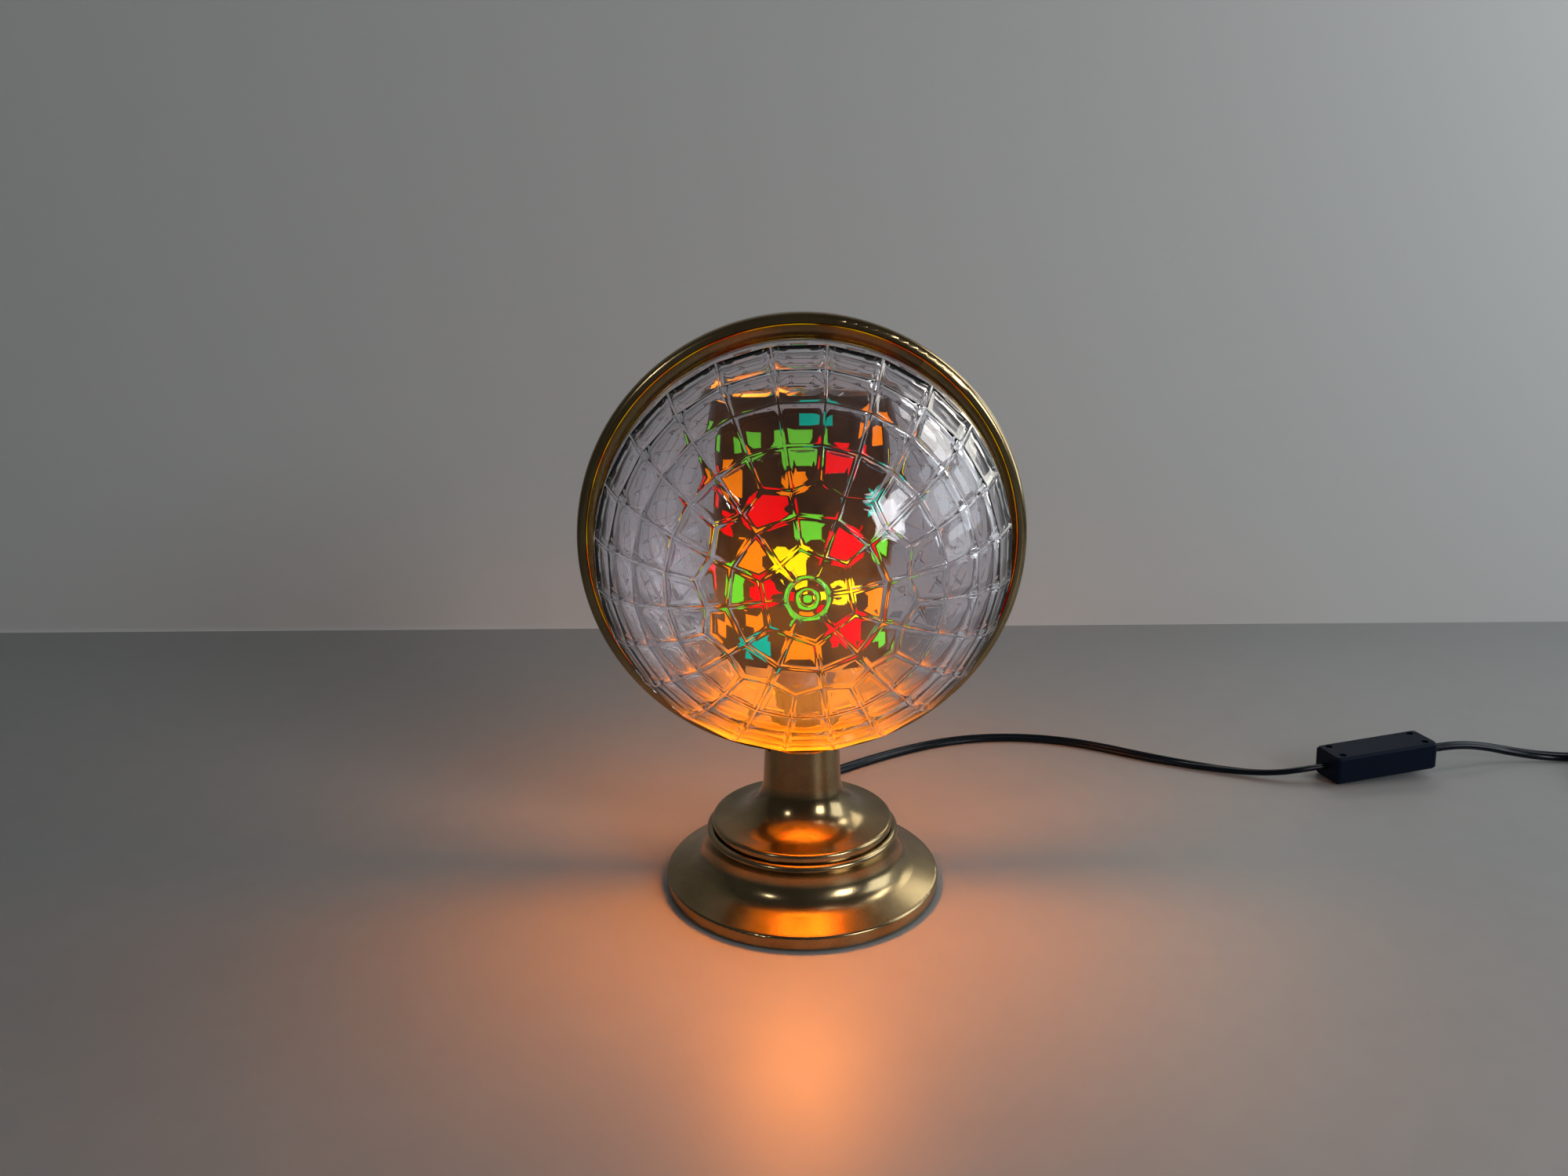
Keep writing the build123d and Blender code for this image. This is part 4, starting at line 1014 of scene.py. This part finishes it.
def wall_finish(settings):
    """Pale wall that is clear from behind, so that a view from there isn't blocked."""
    finish = Finish("pale_wall", Roughness=0.9, Base_Color=(*settings.wall, 1.0))
    behind = finish.node("ShaderNodeNewGeometry", {}, {}, output="Backfacing")
    clear = finish.node("ShaderNodeBsdfTransparent", {}, {})
    solid = Value(finish, finish.shader.outputs[0])
    seen = finish.node("ShaderNodeMixShader", {}, {0: behind, 1: solid, 2: clear})
    finish.links.new(seen.socket, finish.nodes["Material Output"].inputs["Surface"])
    return finish


def add_sheet(name, corners, finish):
    """A flat sheet of the stage between four corners."""
    deselect()
    bpy.ops.mesh.primitive_plane_add(size=2, location=(0, 0, 0))
    sheet = bpy.context.active_object
    sheet.name = name
    for vertex, corner in zip(sheet.data.vertices, corners):
        vertex.co = corner
    paint(sheet, finish)


def add_room_light():
    """Even light from all round, dimmer where metal and glass mirror it."""
    world = bpy.data.worlds.new("soft_room")
    bpy.context.scene.world = world
    world.use_nodes = True
    tree = Tree(world.node_tree)
    background = tree.nodes["Background"]
    background.inputs["Strength"].default_value = 1.0
    mirrored = tree.node("ShaderNodeLightPath", {}, {}, output="Is Glossy Ray")
    shade = mirrored.blend(ROOM_SHADE, MIRRORED_ROOM_SHADE)
    tree.links.new(shade.socket, background.inputs["Color"])


def add_lamp(name, kind, place, power, colour):
    """A lamp of the stage, and its object."""
    lamp = bpy.data.lights.new(name, kind)
    lamp.energy = power
    lamp.color = colour
    holder = bpy.data.objects.new(name, lamp)
    holder.location = place
    bpy.context.collection.objects.link(holder)
    return lamp, holder


def add_camera():
    """The camera where the photo was taken from."""
    view = bpy.data.cameras.new("photo_view")
    view.lens = CAMERA_LENS
    view.sensor_width = CAMERA_SENSOR
    view.clip_start = CAMERA_NEAREST
    camera = bpy.data.objects.new("photo_view", view)
    turn = Matrix.Rotation(radians(CAMERA_TURN), 4, "Z")
    pitch = Matrix.Rotation(radians(90 - CAMERA_DIP), 4, "X")
    roll = Matrix.Rotation(radians(CAMERA_ROLL), 4, "Z")
    camera.matrix_world = Matrix.Translation(CAMERA_PLACE) @ turn @ pitch @ roll
    bpy.context.collection.objects.link(camera)
    bpy.context.scene.camera = camera


class OBJECT_OT_stage(bpy.types.Operator):
    """Sets the table, the wall behind it, the lamps and the camera"""

    bl_idname = "object.mood_light_stage"
    bl_label = "Stage"

    def execute(self, context):
        settings = context.scene.mood_light_stage
        add_sheet("table_top", TABLE_CORNERS, table_finish(settings))
        add_sheet("back_wall", WALL_CORNERS, wall_finish(settings))
        add_room_light()
        for name, place, aim, width, power, colour in LAMPS:
            lamp, holder = add_lamp(name, "AREA", place, power, colour)
            lamp.size = width
            facing = Vector(aim) - Vector(place)
            holder.rotation_euler = facing.to_track_quat("-Z", "Y").to_euler()
            holder.visible_camera = False
        bulb, _ = add_lamp(
            "bulb_light", "POINT", BULB_PLACE, settings.bulb_power, settings.bulb_colour
        )
        bulb.shadow_soft_size = BULB_RADIUS
        add_camera()
        context.scene.view_settings.view_transform = "Standard"
        return {"FINISHED"}


# Add-on


class VIEW3D_PT_mood_light(bpy.types.Panel):
    """Lists the sizes and colours, then the operators in the order they run"""

    bl_label = "Mood Light"
    bl_idname = "VIEW3D_PT_mood_light"
    bl_space_type = "VIEW_3D"
    bl_region_type = "UI"
    bl_category = "Mood Light"

    def draw(self, context):
        column = self.layout.column()
        for name, group in SETTINGS.items():
            for setting in group.__annotations__:
                column.prop(getattr(context.scene, name), setting)
        for operator in OPERATORS:
            column.operator(operator.bl_idname)


SETTINGS = {
    "mood_light_lens": LensSizes,
    "mood_light_colours": FinishColours,
    "mood_light_stage": StageSettings,
}
OPERATORS = (OBJECT_OT_stage, OBJECT_OT_cord, OBJECT_OT_lenses, OBJECT_OT_finishes)
CLASSES = (*SETTINGS.values(), *OPERATORS, VIEW3D_PT_mood_light)


def register():
    for item in CLASSES:
        bpy.utils.register_class(item)
    for name, group in SETTINGS.items():
        setattr(bpy.types.Scene, name, bpy.props.PointerProperty(type=group))


def unregister():
    for name in SETTINGS:
        delattr(bpy.types.Scene, name)
    for item in reversed(CLASSES):
        bpy.utils.unregister_class(item)


def main():
    register()
    bpy.ops.object.mood_light_stage()
    bpy.ops.object.mood_light_cord()
    bpy.ops.object.mood_light_lenses()
    bpy.ops.object.mood_light_finishes()


if __name__ == "__main__":
    main()
